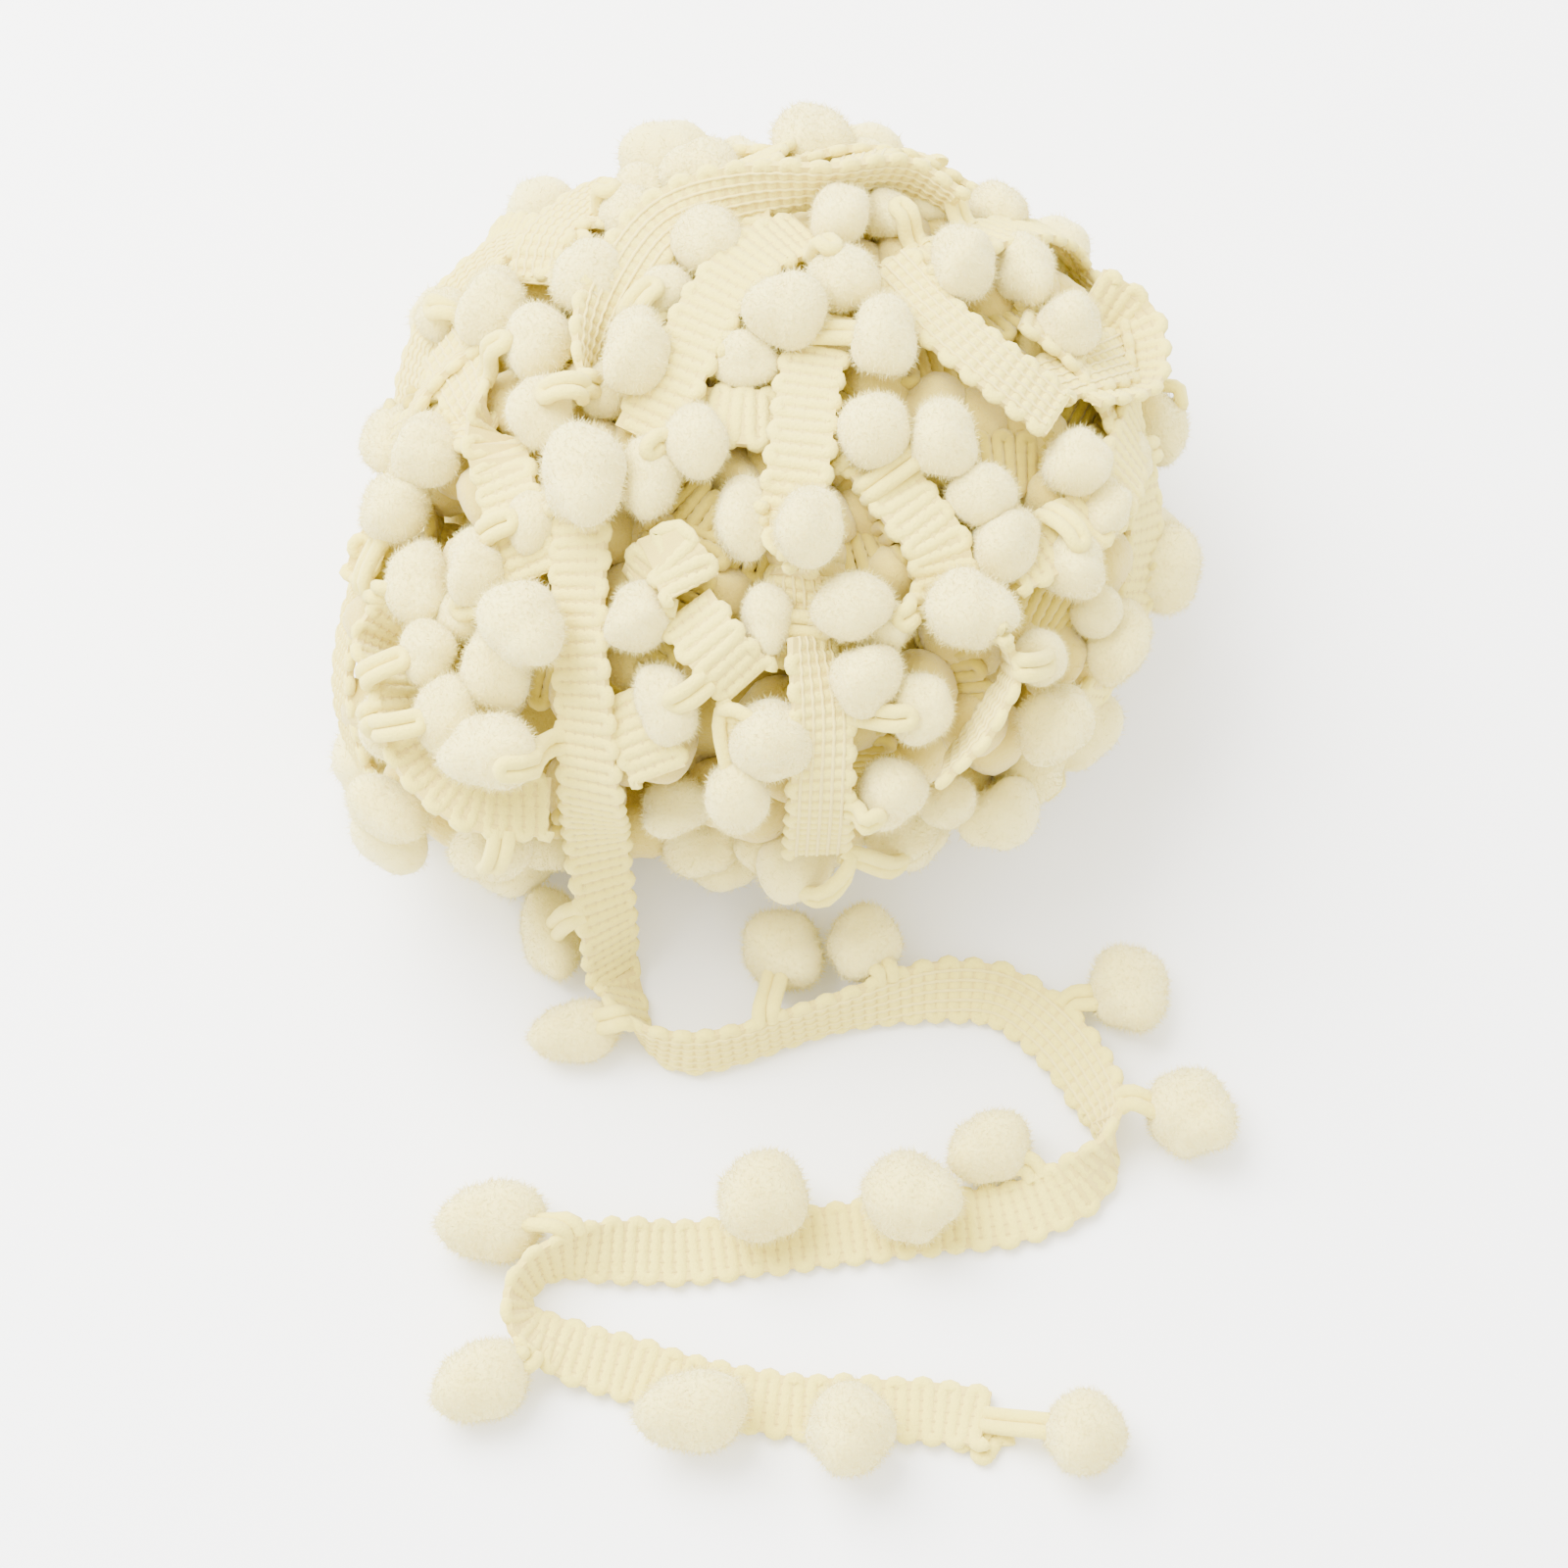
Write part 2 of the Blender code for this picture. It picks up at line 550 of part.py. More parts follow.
def ball_pompoms(surface):
    helpers = []
    for place, (across, down, length, width, turn, lift) in enumerate(BALL_POMPOMS):
        centre = on_ball(across, down, lift * MM)
        size = MM_PER_PIXEL * MM * (centre - EYE) @ FORWARD / VIEW_DISTANCE
        axes = pompom_axes(turn, ball_normal(centre))
        centre[2] = max(centre[2], half_height(axes, length * size, width * size) + FIT_GAP)
        helpers.append(pompom(f"lump_{place}", centre, axes, length * size, width * size, 12, 8, surface))
    random = np.random.default_rng(HIDDEN_SEED)
    for place, spot in enumerate(hidden_places(POMPOMS_ALL_ROUND)):
        out = ball_normal(spot)
        centre = spot + out * random.uniform(2.0, 5.0) * MM
        axes = pompom_axes(random.uniform(0, 180), out)
        centre[2] = max(centre[2], half_height(axes, POMPOM_LENGTH, POMPOM_WIDTH) + FIT_GAP)
        helpers.append(pompom(f"far_lump_{place}", centre, axes, POMPOM_LENGTH, POMPOM_WIDTH, 12, 8, surface))
    return helpers


def hidden_windings(surface):
    """Runs of tape across the sides and the back, each an arc round the ball."""
    helpers = []
    random = np.random.default_rng(HIDDEN_SEED)
    for place in range(HIDDEN_WINDINGS):
        bearing = math.radians(20 + 320 * place / HIDDEN_WINDINGS - 90 + random.uniform(-8, 8))
        if abs(math.sin(bearing) + 1) < 0.25:
            continue
        slant = random.uniform(-0.6, 0.6)
        points, normals = [], []
        for step in range(6):
            rise = -0.55 + 1.25 * step / 5
            angle = bearing + slant * (step / 5 - 0.5) * 2
            direction = np.array([math.cos(angle) * math.cos(rise), math.sin(angle) * math.cos(rise),
                                  math.sin(rise)])
            spot = outward_place(direction)
            spot[2] = max(spot[2], 0.6 * TAPE_WIDTH)
            out = ball_normal(spot)
            points.append(spot + out * 1.2 * MM)
            normals.append(out)
        frames = tape_frames(points, normals, [0] * len(points), 9 * MM)
        helpers.append(plain_strip(f"far_winding_{place}", frames, TAPE_WIDTH, STRIP_THICK, surface))
    return helpers


def build_ball(surface, clearances):
    shapes = [wound_form("wound_body", BODY, 26, 11, surface), wound_form("lobe", LOBE, 16, 8, surface)]
    for name, rows in BALL_STRIPS.items():
        frames = ball_strip_frames(rows, 6 * MM)
        shapes.append(plain_strip(name, frames, TAPE_WIDTH, STRIP_THICK, surface))
    shapes += hidden_windings(surface)
    shapes += ball_pompoms(surface)
    heap = merge_shapes("ball", shapes, surface)
    fuse(heap, SKIN_GRAIN, SKIN_SHARE)
    combine(heap, clearances, "DIFFERENCE")
    return main_body(heap, surface)


def table_slab(surface):
    """Block under the table top that trims the ball's foot to its flat spot."""
    corners = np.array([(-1, -1), (1, -1), (1, 1), (-1, 1)]) * SLAB_HALF
    rings = [[np.array([across, deep, height]) for across, deep in corners] for height in (-SLAB_THICK, 0.0)]
    return loft("table_slab", rings, surface)


def loose_pompom_places(frames):
    """For each pompom of the loose end: its middle, axes, length, width and the station its loop leaves."""
    edge_pixels = np.array([pixel_of(middle + edge * 0.5 * TAPE_WIDTH) for middle, _, _, edge in frames])
    places = []
    for across, down, length, width, turn, rest, root_across, root_down in LOOSE_POMPOMS:
        half = 0.5 * width * MM
        if rest == "band":
            centre = on_ball(across, down, BAND_LIFT + 0.5 * TAPE_THICK + RIB_HEIGHT + FIT_GAP + half)
            out = ball_normal(centre)
        elif rest == "ball":
            centre = on_ball(across, down, BAND_LIFT + FIT_GAP + half)
            out = ball_normal(centre)
        elif rest == "tape":
            centre = at_height(across, down, half + TAPE_THICK + 2 * RIB_HEIGHT + 2 * FIT_GAP)
            out = UP
        else:
            centre = at_height(across, down, half + FIT_GAP)
            out = UP
        station = int(np.argmin(np.linalg.norm(edge_pixels - np.array([root_across, root_down]), axis=1)))
        places.append((centre, pompom_axes(turn, out), length * MM, width * MM, station))
    return places


def loop_strands(name, root, centre, out, surface, swell=0.0):
    """The two yarns of a loop: they leave the tape's edge side by side and bend into the pompom's waist.

    root holds the loop's place on the tape, the way it leaves and the way its two yarns lie apart there."""
    start, leave, along = root
    elbow = start + leave * LOOP_REACH + out * LOOP_RISE
    arrive = unit(centre - elbow)
    bisector = unit(unit(elbow - start) + arrive)
    stretch = 1 / max(0.5, bisector @ arrive)
    strands = []
    stations = [(start - leave * swell, leave, 1.0), (elbow, bisector, stretch), (centre, arrive, 1.0)]
    for side in (-1, 1):
        rings = []
        for spot, way, mitre in stations:
            apart = unit(along - way * (along @ way))
            thick = np.cross(way, apart) * (0.5 * YARN_THICK + swell) * mitre
            half = apart * (0.5 * YARN_WIDTH + swell)
            middle = spot + apart * (side * 0.5 * YARN_APART)
            rings.append([middle + half * a + thick * b for a, b in ((-1, -1), (1, -1), (1, 1), (-1, 1))])
        lap = bisector * (LOOP_LAP + swell)
        outer = rings[0] + [point + lap for point in rings[1]]
        inner = [point - lap for point in rings[1]] + rings[2]
        strands += [hull(f"{name}_{side}_out", outer, surface), hull(f"{name}_{side}_in", inner, surface)]
    return strands


def build_loose_pompoms(frames, surface):
    """Pompoms of the loose end, each fused to the two yarns of its own loop."""
    clearances = []
    for place, (centre, axes, length, width, station) in enumerate(loose_pompom_places(frames), start=1):
        name = f"pompom_{place:02d}"
        middle, ahead, _, edge = frames[station]
        if station == len(frames) - 1:
            root = (middle + ahead * FIT_GAP, ahead, edge)
        else:
            root = (middle + edge * (0.5 * TAPE_WIDTH + SCALLOP_DEPTH + FIT_GAP), edge, ahead)
        body = pompom(name, centre, axes, length, width, 9, 6, surface)
        combine(body, loop_strands(f"{name}_yarn", root, centre, axes[2], surface), "UNION")
        if place <= POMPOMS_AT_BALL:
            room = 2 * FIT_GAP
            clearances.append(pompom(f"{name}_room", centre, axes, length + room, width + room, 9, 6, surface))
            clearances += loop_strands(f"{name}_yarn_room", root, centre, axes[2], surface, FIT_GAP)
    return clearances


def main():
    clear_scene()
    tape_surface = material("tape_yarn", TAPE_COLOUR)
    pompom_surface = material("pompom_felt", POMPOM_COLOUR)
    frames = loose_tape_frames(0.5 * RIB_PITCH)
    ribbed_tape("loose_tape", frames, tape_surface)
    clearances = build_loose_pompoms(frames, pompom_surface)
    near_ball = frames[:int(TAPE_ON_BALL / (0.5 * RIB_PITCH)):3]
    near_ball.insert(0, (frames[0][0] - frames[0][1] * FIT_GAP,) + frames[0][1:])
    clearances.append(plain_strip("tape_room", near_ball, TAPE_WIDTH + 2 * SCALLOP_DEPTH + 3 * FIT_GAP,
                                  TAPE_THICK + 2 * RIB_HEIGHT + 3 * FIT_GAP, tape_surface))
    clearances.append(table_slab(tape_surface))
    build_ball(tape_surface, clearances)


main()
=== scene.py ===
"""Pompom fringe trim: a cream ribbed tape with felted pompoms along one edge, wound into a loose squat
ball, with its end run out on the table in an S."""

import json
import math
import bpy
import bmesh
import numpy as np
from mathutils import Matrix, Vector

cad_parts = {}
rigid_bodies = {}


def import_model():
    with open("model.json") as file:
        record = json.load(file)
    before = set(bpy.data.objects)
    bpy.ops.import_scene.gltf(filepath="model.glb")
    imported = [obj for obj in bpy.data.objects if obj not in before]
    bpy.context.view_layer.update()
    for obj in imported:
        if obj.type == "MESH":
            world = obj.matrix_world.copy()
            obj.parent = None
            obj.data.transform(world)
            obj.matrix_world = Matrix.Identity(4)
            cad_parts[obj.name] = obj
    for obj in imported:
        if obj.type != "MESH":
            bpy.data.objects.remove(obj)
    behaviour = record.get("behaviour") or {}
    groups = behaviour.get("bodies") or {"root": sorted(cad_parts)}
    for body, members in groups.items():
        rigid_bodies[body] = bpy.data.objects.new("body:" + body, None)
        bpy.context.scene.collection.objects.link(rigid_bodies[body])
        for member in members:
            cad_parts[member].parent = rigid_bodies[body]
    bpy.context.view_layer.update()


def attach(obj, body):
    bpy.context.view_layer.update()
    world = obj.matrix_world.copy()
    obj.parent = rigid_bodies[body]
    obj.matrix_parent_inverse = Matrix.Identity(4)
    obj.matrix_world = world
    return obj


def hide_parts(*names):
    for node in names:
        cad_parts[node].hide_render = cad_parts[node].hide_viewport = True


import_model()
MM = 0.001


# Floor, light and camera.
# The trim lies on a plain white table top under a broad soft light from above and a little from the left.
# The camera looks down at it from in front, as the photograph does.
PICTURE_MIDDLE = 800.0
MM_PER_PIXEL = 0.176
VIEW_ELEVATION = math.radians(68.0)
VIEW_DISTANCE = 0.80
AIM = np.array([1.7, -37.0, 0.0]) * MM
FORWARD = np.array([0.0, math.cos(VIEW_ELEVATION), -math.sin(VIEW_ELEVATION)])
UPWARD = np.array([0.0, math.sin(VIEW_ELEVATION), math.cos(VIEW_ELEVATION)])
EYE = AIM - VIEW_DISTANCE * FORWARD
UP = np.array([0.0, 0.0, 1.0])
SENSOR = 36.0
FLOOR_HALF = 1.5
FLOOR_COLOUR = (0.94, 0.94, 0.94)
FLOOR_ROUGHNESS = 0.85
SKY_COLOUR = (1.0, 0.99, 0.97)
SKY_STRENGTH = 3.4
SOFTBOX_SIZE = 0.9
SOFTBOX_POWER = 56.0
SOFTBOX_PLACE = Vector((-0.45, 0.35, 0.95))


def link_object(name, data):
    made = bpy.data.objects.new(name, data)
    bpy.context.collection.objects.link(made)
    return made


def surface_shader(name, colour, roughness):
    made = bpy.data.materials.new(name)
    made.use_nodes = True
    shader = made.node_tree.nodes["Principled BSDF"]
    shader.inputs["Base Color"].default_value = (*colour, 1.0)
    shader.inputs["Roughness"].default_value = roughness
    return made, shader


floor_mesh = bpy.data.meshes.new("table_top")
floor_corners = [(a * FLOOR_HALF, b * FLOOR_HALF, 0.0) for a, b in ((-1, -1), (1, -1), (1, 1), (-1, 1))]
floor_mesh.from_pydata(floor_corners, [], [(0, 1, 2, 3)])
floor_mesh.materials.append(surface_shader("table_top_white", FLOOR_COLOUR, FLOOR_ROUGHNESS)[0])
link_object("table_top", floor_mesh)

world = bpy.data.worlds.new("pale_room")
world.use_nodes = True
world.node_tree.nodes["Background"].inputs["Color"].default_value = (*SKY_COLOUR, 1.0)
world.node_tree.nodes["Background"].inputs["Strength"].default_value = SKY_STRENGTH
bpy.context.scene.world = world

softbox = bpy.data.lights.new("softbox", "AREA")
softbox.size = SOFTBOX_SIZE
softbox.energy = SOFTBOX_POWER
softbox_object = link_object("softbox", softbox)
softbox_object.matrix_world = (Matrix.Translation(SOFTBOX_PLACE)
                               @ (-SOFTBOX_PLACE).to_track_quat("-Z", "Y").to_matrix().to_4x4())

camera = bpy.data.cameras.new("camera")
camera.sensor_width = SENSOR
camera.lens = SENSOR * VIEW_DISTANCE / (2 * PICTURE_MIDDLE * MM_PER_PIXEL * MM)
camera_object = link_object("camera", camera)
camera_axes = Matrix([Vector(np.cross(FORWARD, UPWARD)), Vector(UPWARD), Vector(-FORWARD)]).transposed()
camera_object.matrix_world = Matrix.Translation(Vector(EYE)) @ camera_axes.to_4x4()
bpy.context.scene.camera = camera_object


# The ball's wound heart.
# Metre after metre of the trim is wound on itself. Its inner turns are one dense cream mass that only shows
# in the gaps, as a dark yellow ground of painted shade, so it is a plain rippled body well inside the outer
# turns.
BODY = {"middle": np.array([0.0, 0.0, 42.0]) * MM, "half": np.array([64.0, 60.0, 39.0, 44.0]) * MM}
LOBE = {"middle": np.array([-43.0, -33.0, 31.0]) * MM, "half": np.array([31.0, 28.0, 27.0, 30.5]) * MM}
BODY_POWER = 2.3
LOBE_BLEND = 10
HEART_DEPTH = -11.0 * MM
UNDERSIDE_DEPTH = -7.0 * MM
UNDERSIDE_AT = [-0.6, -0.3]
HEART_OFF_TABLE = 1.5 * MM
HEART_RIPPLE = 1.2 * MM
HEART_DETAIL = 5
# Painted shade: the cream inner turns are coloured dark ochre, as they look in shade.
HEART_PAINTED_SHADE_COLOUR = (0.52, 0.40, 0.05)
HEART_PAINTED_SHADE_CLOUD = (0.40, 0.29, 0.03)
SKIN_SEARCH = np.linspace(0.01, 0.12, 441)


def unit(vector):
    return vector / np.linalg.norm(vector)


def form_level(form, points, lift):
    """1 on the form's surface raised by lift, less inside it."""
    offset = points - form["middle"]
    across, deep, above, below = form["half"] + lift
    height = np.where(offset[..., 2] > 0, above, below)
    shares = ((np.abs(offset[..., 0]) / across) ** BODY_POWER + (np.abs(offset[..., 1]) / deep) ** BODY_POWER
              + (np.abs(offset[..., 2]) / height) ** BODY_POWER)
    return shares ** (1 / BODY_POWER)


def ball_level(points, lift=0.0):
    """The same for the ball's body and its slack lobe together, blended where they meet."""
    levels = np.array([form_level(form, points, lift) for form in (BODY, LOBE)])
    return (np.maximum(levels, 0.05) ** -LOBE_BLEND).sum(axis=0) ** (-1 / LOBE_BLEND)


def ball_normal(point):
    step = 0.2 * MM
    slope = [ball_level(point + step * axis) - ball_level(point - step * axis) for axis in np.eye(3)]
    return unit(np.array(slope))


def outward_place(direction, lift=0.0):
    """Point of the ball's raised surface in a direction from the body's middle."""
    levels = ball_level(BODY["middle"] + SKIN_SEARCH[:, None] * direction, lift)
    return BODY["middle"] + direction * SKIN_SEARCH[int(np.argmax(levels >= 1.0))]


def yarn_material(name, colour, dark_colour, grain, relief):
    """Soft spun cotton: cloudy colour, and a fine relief of fibres."""
    made, shader = surface_shader(name, colour, 0.95)
    nodes, links = made.node_tree.nodes, made.node_tree.links
    place = nodes.new("ShaderNodeTexCoord")
    clouds = nodes.new("ShaderNodeTexNoise")
    clouds.inputs["Scale"].default_value = 0.18 * grain
    clouds.inputs["Detail"].default_value = 3.0
    mix = nodes.new("ShaderNodeMix")
    mix.data_type = "RGBA"
    mix.inputs["A"].default_value = (*dark_colour, 1.0)
    mix.inputs["B"].default_value = (*colour, 1.0)
    fibres = nodes.new("ShaderNodeTexNoise")
    fibres.inputs["Scale"].default_value = grain
    fibres.inputs["Detail"].default_value = 4.0
    fibres.inputs["Roughness"].default_value = 0.7
    bump = nodes.new("ShaderNodeBump")
    bump.inputs["Strength"].default_value = 0.8
    bump.inputs["Distance"].default_value = relief
    links.new(place.outputs["Object"], clouds.inputs["Vector"])
    links.new(place.outputs["Object"], fibres.inputs["Vector"])
    links.new(clouds.outputs["Fac"], mix.inputs["Factor"])
    links.new(mix.outputs["Result"], shader.inputs["Base Color"])
    links.new(fibres.outputs["Fac"], bump.inputs["Height"])
    links.new(bump.outputs["Normal"], shader.inputs["Normal"])
    shader.inputs["Sheen Weight"].default_value = 0.25
    shader.inputs["Sheen Roughness"].default_value = 0.6
    shader.inputs["Specular IOR Level"].default_value = 0.15
    return made


# The inner turns' yarn, in painted shade.
inner_turns_painted_shade = yarn_material("shaded_inner_turns", HEART_PAINTED_SHADE_COLOUR, HEART_PAINTED_SHADE_CLOUD, grain=600.0, relief=0.6 * MM)
heart = bmesh.new()
bmesh.ops.create_icosphere(heart, subdivisions=HEART_DETAIL, radius=1.0)
for vertex in heart.verts:
    direction = np.array(vertex.co)
    lift = float(np.interp(direction[2], UNDERSIDE_AT, [UNDERSIDE_DEPTH, HEART_DEPTH]))
    spot = outward_place(direction, lift)
    ripple = HEART_RIPPLE * math.sin(9 * direction[0] + 4 * direction[2]) * math.cos(8 * direction[1])
    spot = spot + direction * ripple
    vertex.co = Vector((spot[0], spot[1], max(spot[2], HEART_OFF_TABLE)))
heart_mesh = bpy.data.meshes.new("ball_heart")
heart.to_mesh(heart_mesh)
heart.free()
heart_mesh.shade_smooth()
heart_mesh.materials.append(inner_turns_painted_shade)
ball_heart = link_object("ball_heart", heart_mesh)
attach(ball_heart, "root")
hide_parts("ball")


# The ball's outer turns of tape.
# The tape is one soft weft yarn laid to and fro across five warp threads, so two ribs share each scallop at
# its edges. The warp shows as five chains along its back and as small stitches between the ribs of its face.
TAPE_WIDTH = 11.0 * MM
RIB_PITCH = 2.2 * MM
STATION_PITCH = 0.5 * RIB_PITCH
WEB_WIDTH = 10.0 * MM
WEB_THICK = 1.3 * MM
WEFT_RADIUS = 1.27 * MM
PRESSED = 0.82
WEFT_SIDES = 7
WARP_PLACES = np.array([-3.5, -1.75, 0.0, 1.75, 3.5]) * MM
WARP_RADIUS = 0.34 * MM
WARP_OVER_RIB = 1.0 * MM
WARP_IN_GROOVE = 0.62 * MM
STITCH_RADIUS = 0.26 * MM
STITCH_HEIGHT = 0.5 * MM
UNEVEN = 0.16 * MM
SWELL = 1.05
DRAWN_IN = 0.90
TAPE_COLOUR = (0.92, 0.80, 0.165)
TAPE_SHADE = (0.85, 0.71, 0.12)
# Painted shade: the inner windings' weft is the same cream yarn, coloured dark as it lies in shade.
DEEP_TAPE_PAINTED_SHADE = (0.64, 0.51, 0.05)
DEEP_TAPE_PAINTED_SHADE_CLOUD = (0.53, 0.41, 0.04)
# The warp thread is the tape's own cream cotton, a little darker than the weft as painted shade, so its
# chains read as lines in their grooves.
WARP_COLOUR_AND_PAINTED_SHADE = (0.86, 0.74, 0.22)
WARP_CLOUD_AND_PAINTED_SHADE = (0.78, 0.64, 0.15)
# Painted shade: the stitches are the warp thread where it lies between the face's ribs, coloured darker than
# on the back.
STITCH_PAINTED_SHADE = (0.68, 0.54, 0.14)
STITCH_PAINTED_SHADE_CLOUD = (0.58, 0.44, 0.09)
# Painted shade: the woven ground shows only under and between the ribs, so it is coloured darker than the
# weft.
WEB_PAINTED_SHADE = (0.76, 0.62, 0.15)
WEB_PAINTED_SHADE_CLOUD = (0.68, 0.53, 0.10)
STRIP_LIFT = 0.4
BALL_STRIPS = {
    "wrap_top_left": [(590, 408, 4, 60), (600, 355, 5, 100), (633, 282, 6, 150), (684, 222, 6, 150),
                      (760, 196, 7, 110), (840, 188, 8, 80), (930, 184, 6, 70), (975, 208, 4, 60)],
    "arch": [(655, 447, 3, 0), (688, 384, 5, 0), (726, 312, 6, 0), (774, 258, 6, 0), (830, 236, 3, 0)],
    "middle_run": [(840, 322, 3, 0), (826, 390, 5, 0), (814, 480, 6, 0), (807, 530, 4, 0),
                   (812, 590, 0, 150), (804, 690, -1, 150)],
    "right_run": [(905, 272, 2, 150), (948, 318, 5, 180), (1012, 372, 7, 180), (1080, 424, 7, 180)],
    "left_run": [(452, 352, 2, 180), (482, 412, 3, 160), (512, 475, 4, 10), (528, 545, 3, 0),
                 (548, 596, 1, 0)],
    "left_hem": [(412, 624, 3, 60), (384, 655, 3, 90), (401, 700, 4, 80), (424, 768, 5, 70),
                 (480, 816, 6, 60), (560, 824, 4, 50)],
    "short_end": [(636, 706, 2, 0), (652, 748, 4, 0), (674, 790, 5, 0)],
    "fold_upper": [(654, 604, 2, 20), (684, 566, 6, 0), (706, 600, 6, 20)],
    "fold_lower": [(700, 620, 3, 0), (728, 660, 6, 0), (768, 700, 3, 0)],
    "slant_run": [(880, 455, 1, 0), (925, 514, 3, 0), (958, 560, 3, 0), (966, 612, 1, 0)],
    "bottom_run": [(826, 650, 1, 230), (838, 720, 4, 200), (838, 800, 6, 180), (833, 872, 5, 180)],
    "right_hem": [(1018, 640, 5, 70), (1034, 676, 6, 75), (1010, 730, 6, 80), (962, 790, 5, 60)],
    "right_curl": [(1100, 400, 3, 40), (1158, 388, 3, 70), (1150, 326, 4, 80), (1112, 300, 2, 60)],
    "top_curl": [(872, 186, 5, 200), (905, 156, 3, 180), (948, 176, 2, 150)],
    "far_left_run": [(632, 186, 2, 180), (590, 212, 3, 180), (552, 252, 4, 180), (545, 290, 1, 180)],
    "small_run": [(706, 424, 1, 0), (752, 426, 3, 0), (806, 430, 1, 0)],
    "left_curl": [(400, 545, -2, 60), (362, 556, 0, 90), (362, 596, 0, 90), (402, 604, -2, 60)],
}
WINDINGS_BEHIND = 13
WINDINGS_BENEATH = 17
BEHIND_FROM = -20
BEHIND_SPAN = 220
WINDING_WAVER = 1.2 * MM
WINDING_LEAN = 25
WINDING_LOWEST = 0.75 * TAPE_WIDTH
WINDING_SEED = 7
SIGHT_SEARCH = np.linspace(0.60, 0.95, 1401)


def view_ray(across, down):
    """Direction from the eye through a pixel of the photograph."""
    right = (across - PICTURE_MIDDLE) * MM_PER_PIXEL * MM
    rise = (PICTURE_MIDDLE - down) * MM_PER_PIXEL * MM
    return unit(FORWARD * VIEW_DISTANCE + np.array([right, 0.0, 0.0]) + rise * UPWARD)


def on_ball(across, down, lift):
    """First point of the ball's raised surface on a pixel's ray, or else the nearest, drawn in to it."""
    ray = view_ray(across, down)
    levels = ball_level(EYE + SIGHT_SEARCH[:, None] * ray, lift)
    place = int(np.argmax(levels <= 1.0)) if levels.min() <= 1.0 else int(np.argmin(levels))
    point = EYE + ray * SIGHT_SEARCH[place]
    if levels[place] > 1.0:
        point = BODY["middle"] + (point - BODY["middle"]) / levels[place]
    return point


def smooth_values(keys, values, places):
    """Smooth curve through values at keys, read at places."""
    values = np.asarray(values, dtype=float)
    slopes = np.gradient(values, keys, axis=0)
    found = np.clip(np.searchsorted(keys, places, side="right") - 1, 0, len(keys) - 2)
    span = keys[found + 1] - keys[found]
    part = (places - keys[found]) / span
    if values.ndim == 2:
        span, part = span[:, None], part[:, None]
    start = (1 + 2 * part) * (1 - part) ** 2 * values[found] + part * (1 - part) ** 2 * span * slopes[found]
    end = part ** 2 * (3 - 2 * part) * values[found + 1] + part ** 2 * (part - 1) * span * slopes[found + 1]
    return start + end


def tape_stations(points, normals, rolls, pitch):
    """Even stations along the tape: place, direction of travel, face normal and pompom-edge direction."""
    points = np.asarray(points)
    keys = np.concatenate([[0.0], np.cumsum(np.linalg.norm(np.diff(points, axis=0), axis=1))])
    fine = np.linspace(0.0, keys[-1], 40 * len(points))
    curve = smooth_values(keys, points, fine)
    length = np.concatenate([[0.0], np.cumsum(np.linalg.norm(np.diff(curve, axis=0), axis=1))])
    count = max(3, int(round(length[-1] / pitch)) + 1)
    places = np.interp(np.linspace(0.0, length[-1], count), length, fine)
    centre = smooth_values(keys, points, places)
    away = smooth_values(keys, normals, places)
    roll = np.radians(smooth_values(keys, rolls, places))
    ahead = np.gradient(centre, axis=0)
    ahead /= np.linalg.norm(ahead, axis=1)[:, None]
    out = away - ahead * (away * ahead).sum(axis=1)[:, None]
    out /= np.linalg.norm(out, axis=1)[:, None]
    left = np.cross(out, ahead)
    face = out * np.cos(roll)[:, None] + left * np.sin(roll)[:, None]
    return {"middle": centre, "ahead": ahead, "face": face, "edge": np.cross(ahead, face)}


def station_point(tape, at, across, above):
    """Point of the tape at a fractional station, off its middle line along its width and its face."""
    at = np.clip(at, 0, len(tape["middle"]) - 1.001)
    low = np.floor(at).astype(int)
    part = (at - low)[:, None]
    middle, edge, face = [tape[key][low] * (1 - part) + tape[key][low + 1] * part
                          for key in ("middle", "edge", "face")]
    return middle + edge * np.asarray(across)[:, None] + face * np.asarray(above)[:, None]


def weft_path(tape, random, width=TAPE_WIDTH):
    """The weft yarn's to-and-fro path: straight across each rib, then round to the next one."""
    stations_per_rib = RIB_PITCH / STATION_PITCH
    ribs = int((len(tape["middle"]) - 1) / stations_per_rib)
    straight = 0.5 * width - 0.5 * RIB_PITCH - 0.5 * WEFT_RADIUS
    rib_places = np.linspace(-1, 1, 9) * straight
    turns = np.radians([18, 54, 90, 126, 162])
    at, across, fullness = [], [], []
    for rib in range(ribs):
        side = 1 if rib % 2 == 0 else -1
        centre = (rib + 0.5) * stations_per_rib
        reach = straight + random.uniform(-UNEVEN, UNEVEN)
        at += list(centre + np.zeros(9))
        across += list(side * rib_places)
        fullness += [DRAWN_IN, SWELL] * 4 + [DRAWN_IN] + [1.0] * len(turns)
        at += list(centre + 0.5 * stations_per_rib * (1 - np.cos(turns)))
        across += list(side * (reach + 0.5 * RIB_PITCH * np.sin(turns)))
    at = np.array(at) + random.uniform(-0.1, 0.1, len(at)) * UNEVEN / STATION_PITCH
    above = random.uniform(-0.4, 0.4, len(at)) * UNEVEN
    facing = tape["face"][np.clip(at.round().astype(int), 0, len(tape["face"]) - 1)]
    return np.column_stack([station_point(tape, at, np.array(across), above), fullness, facing])


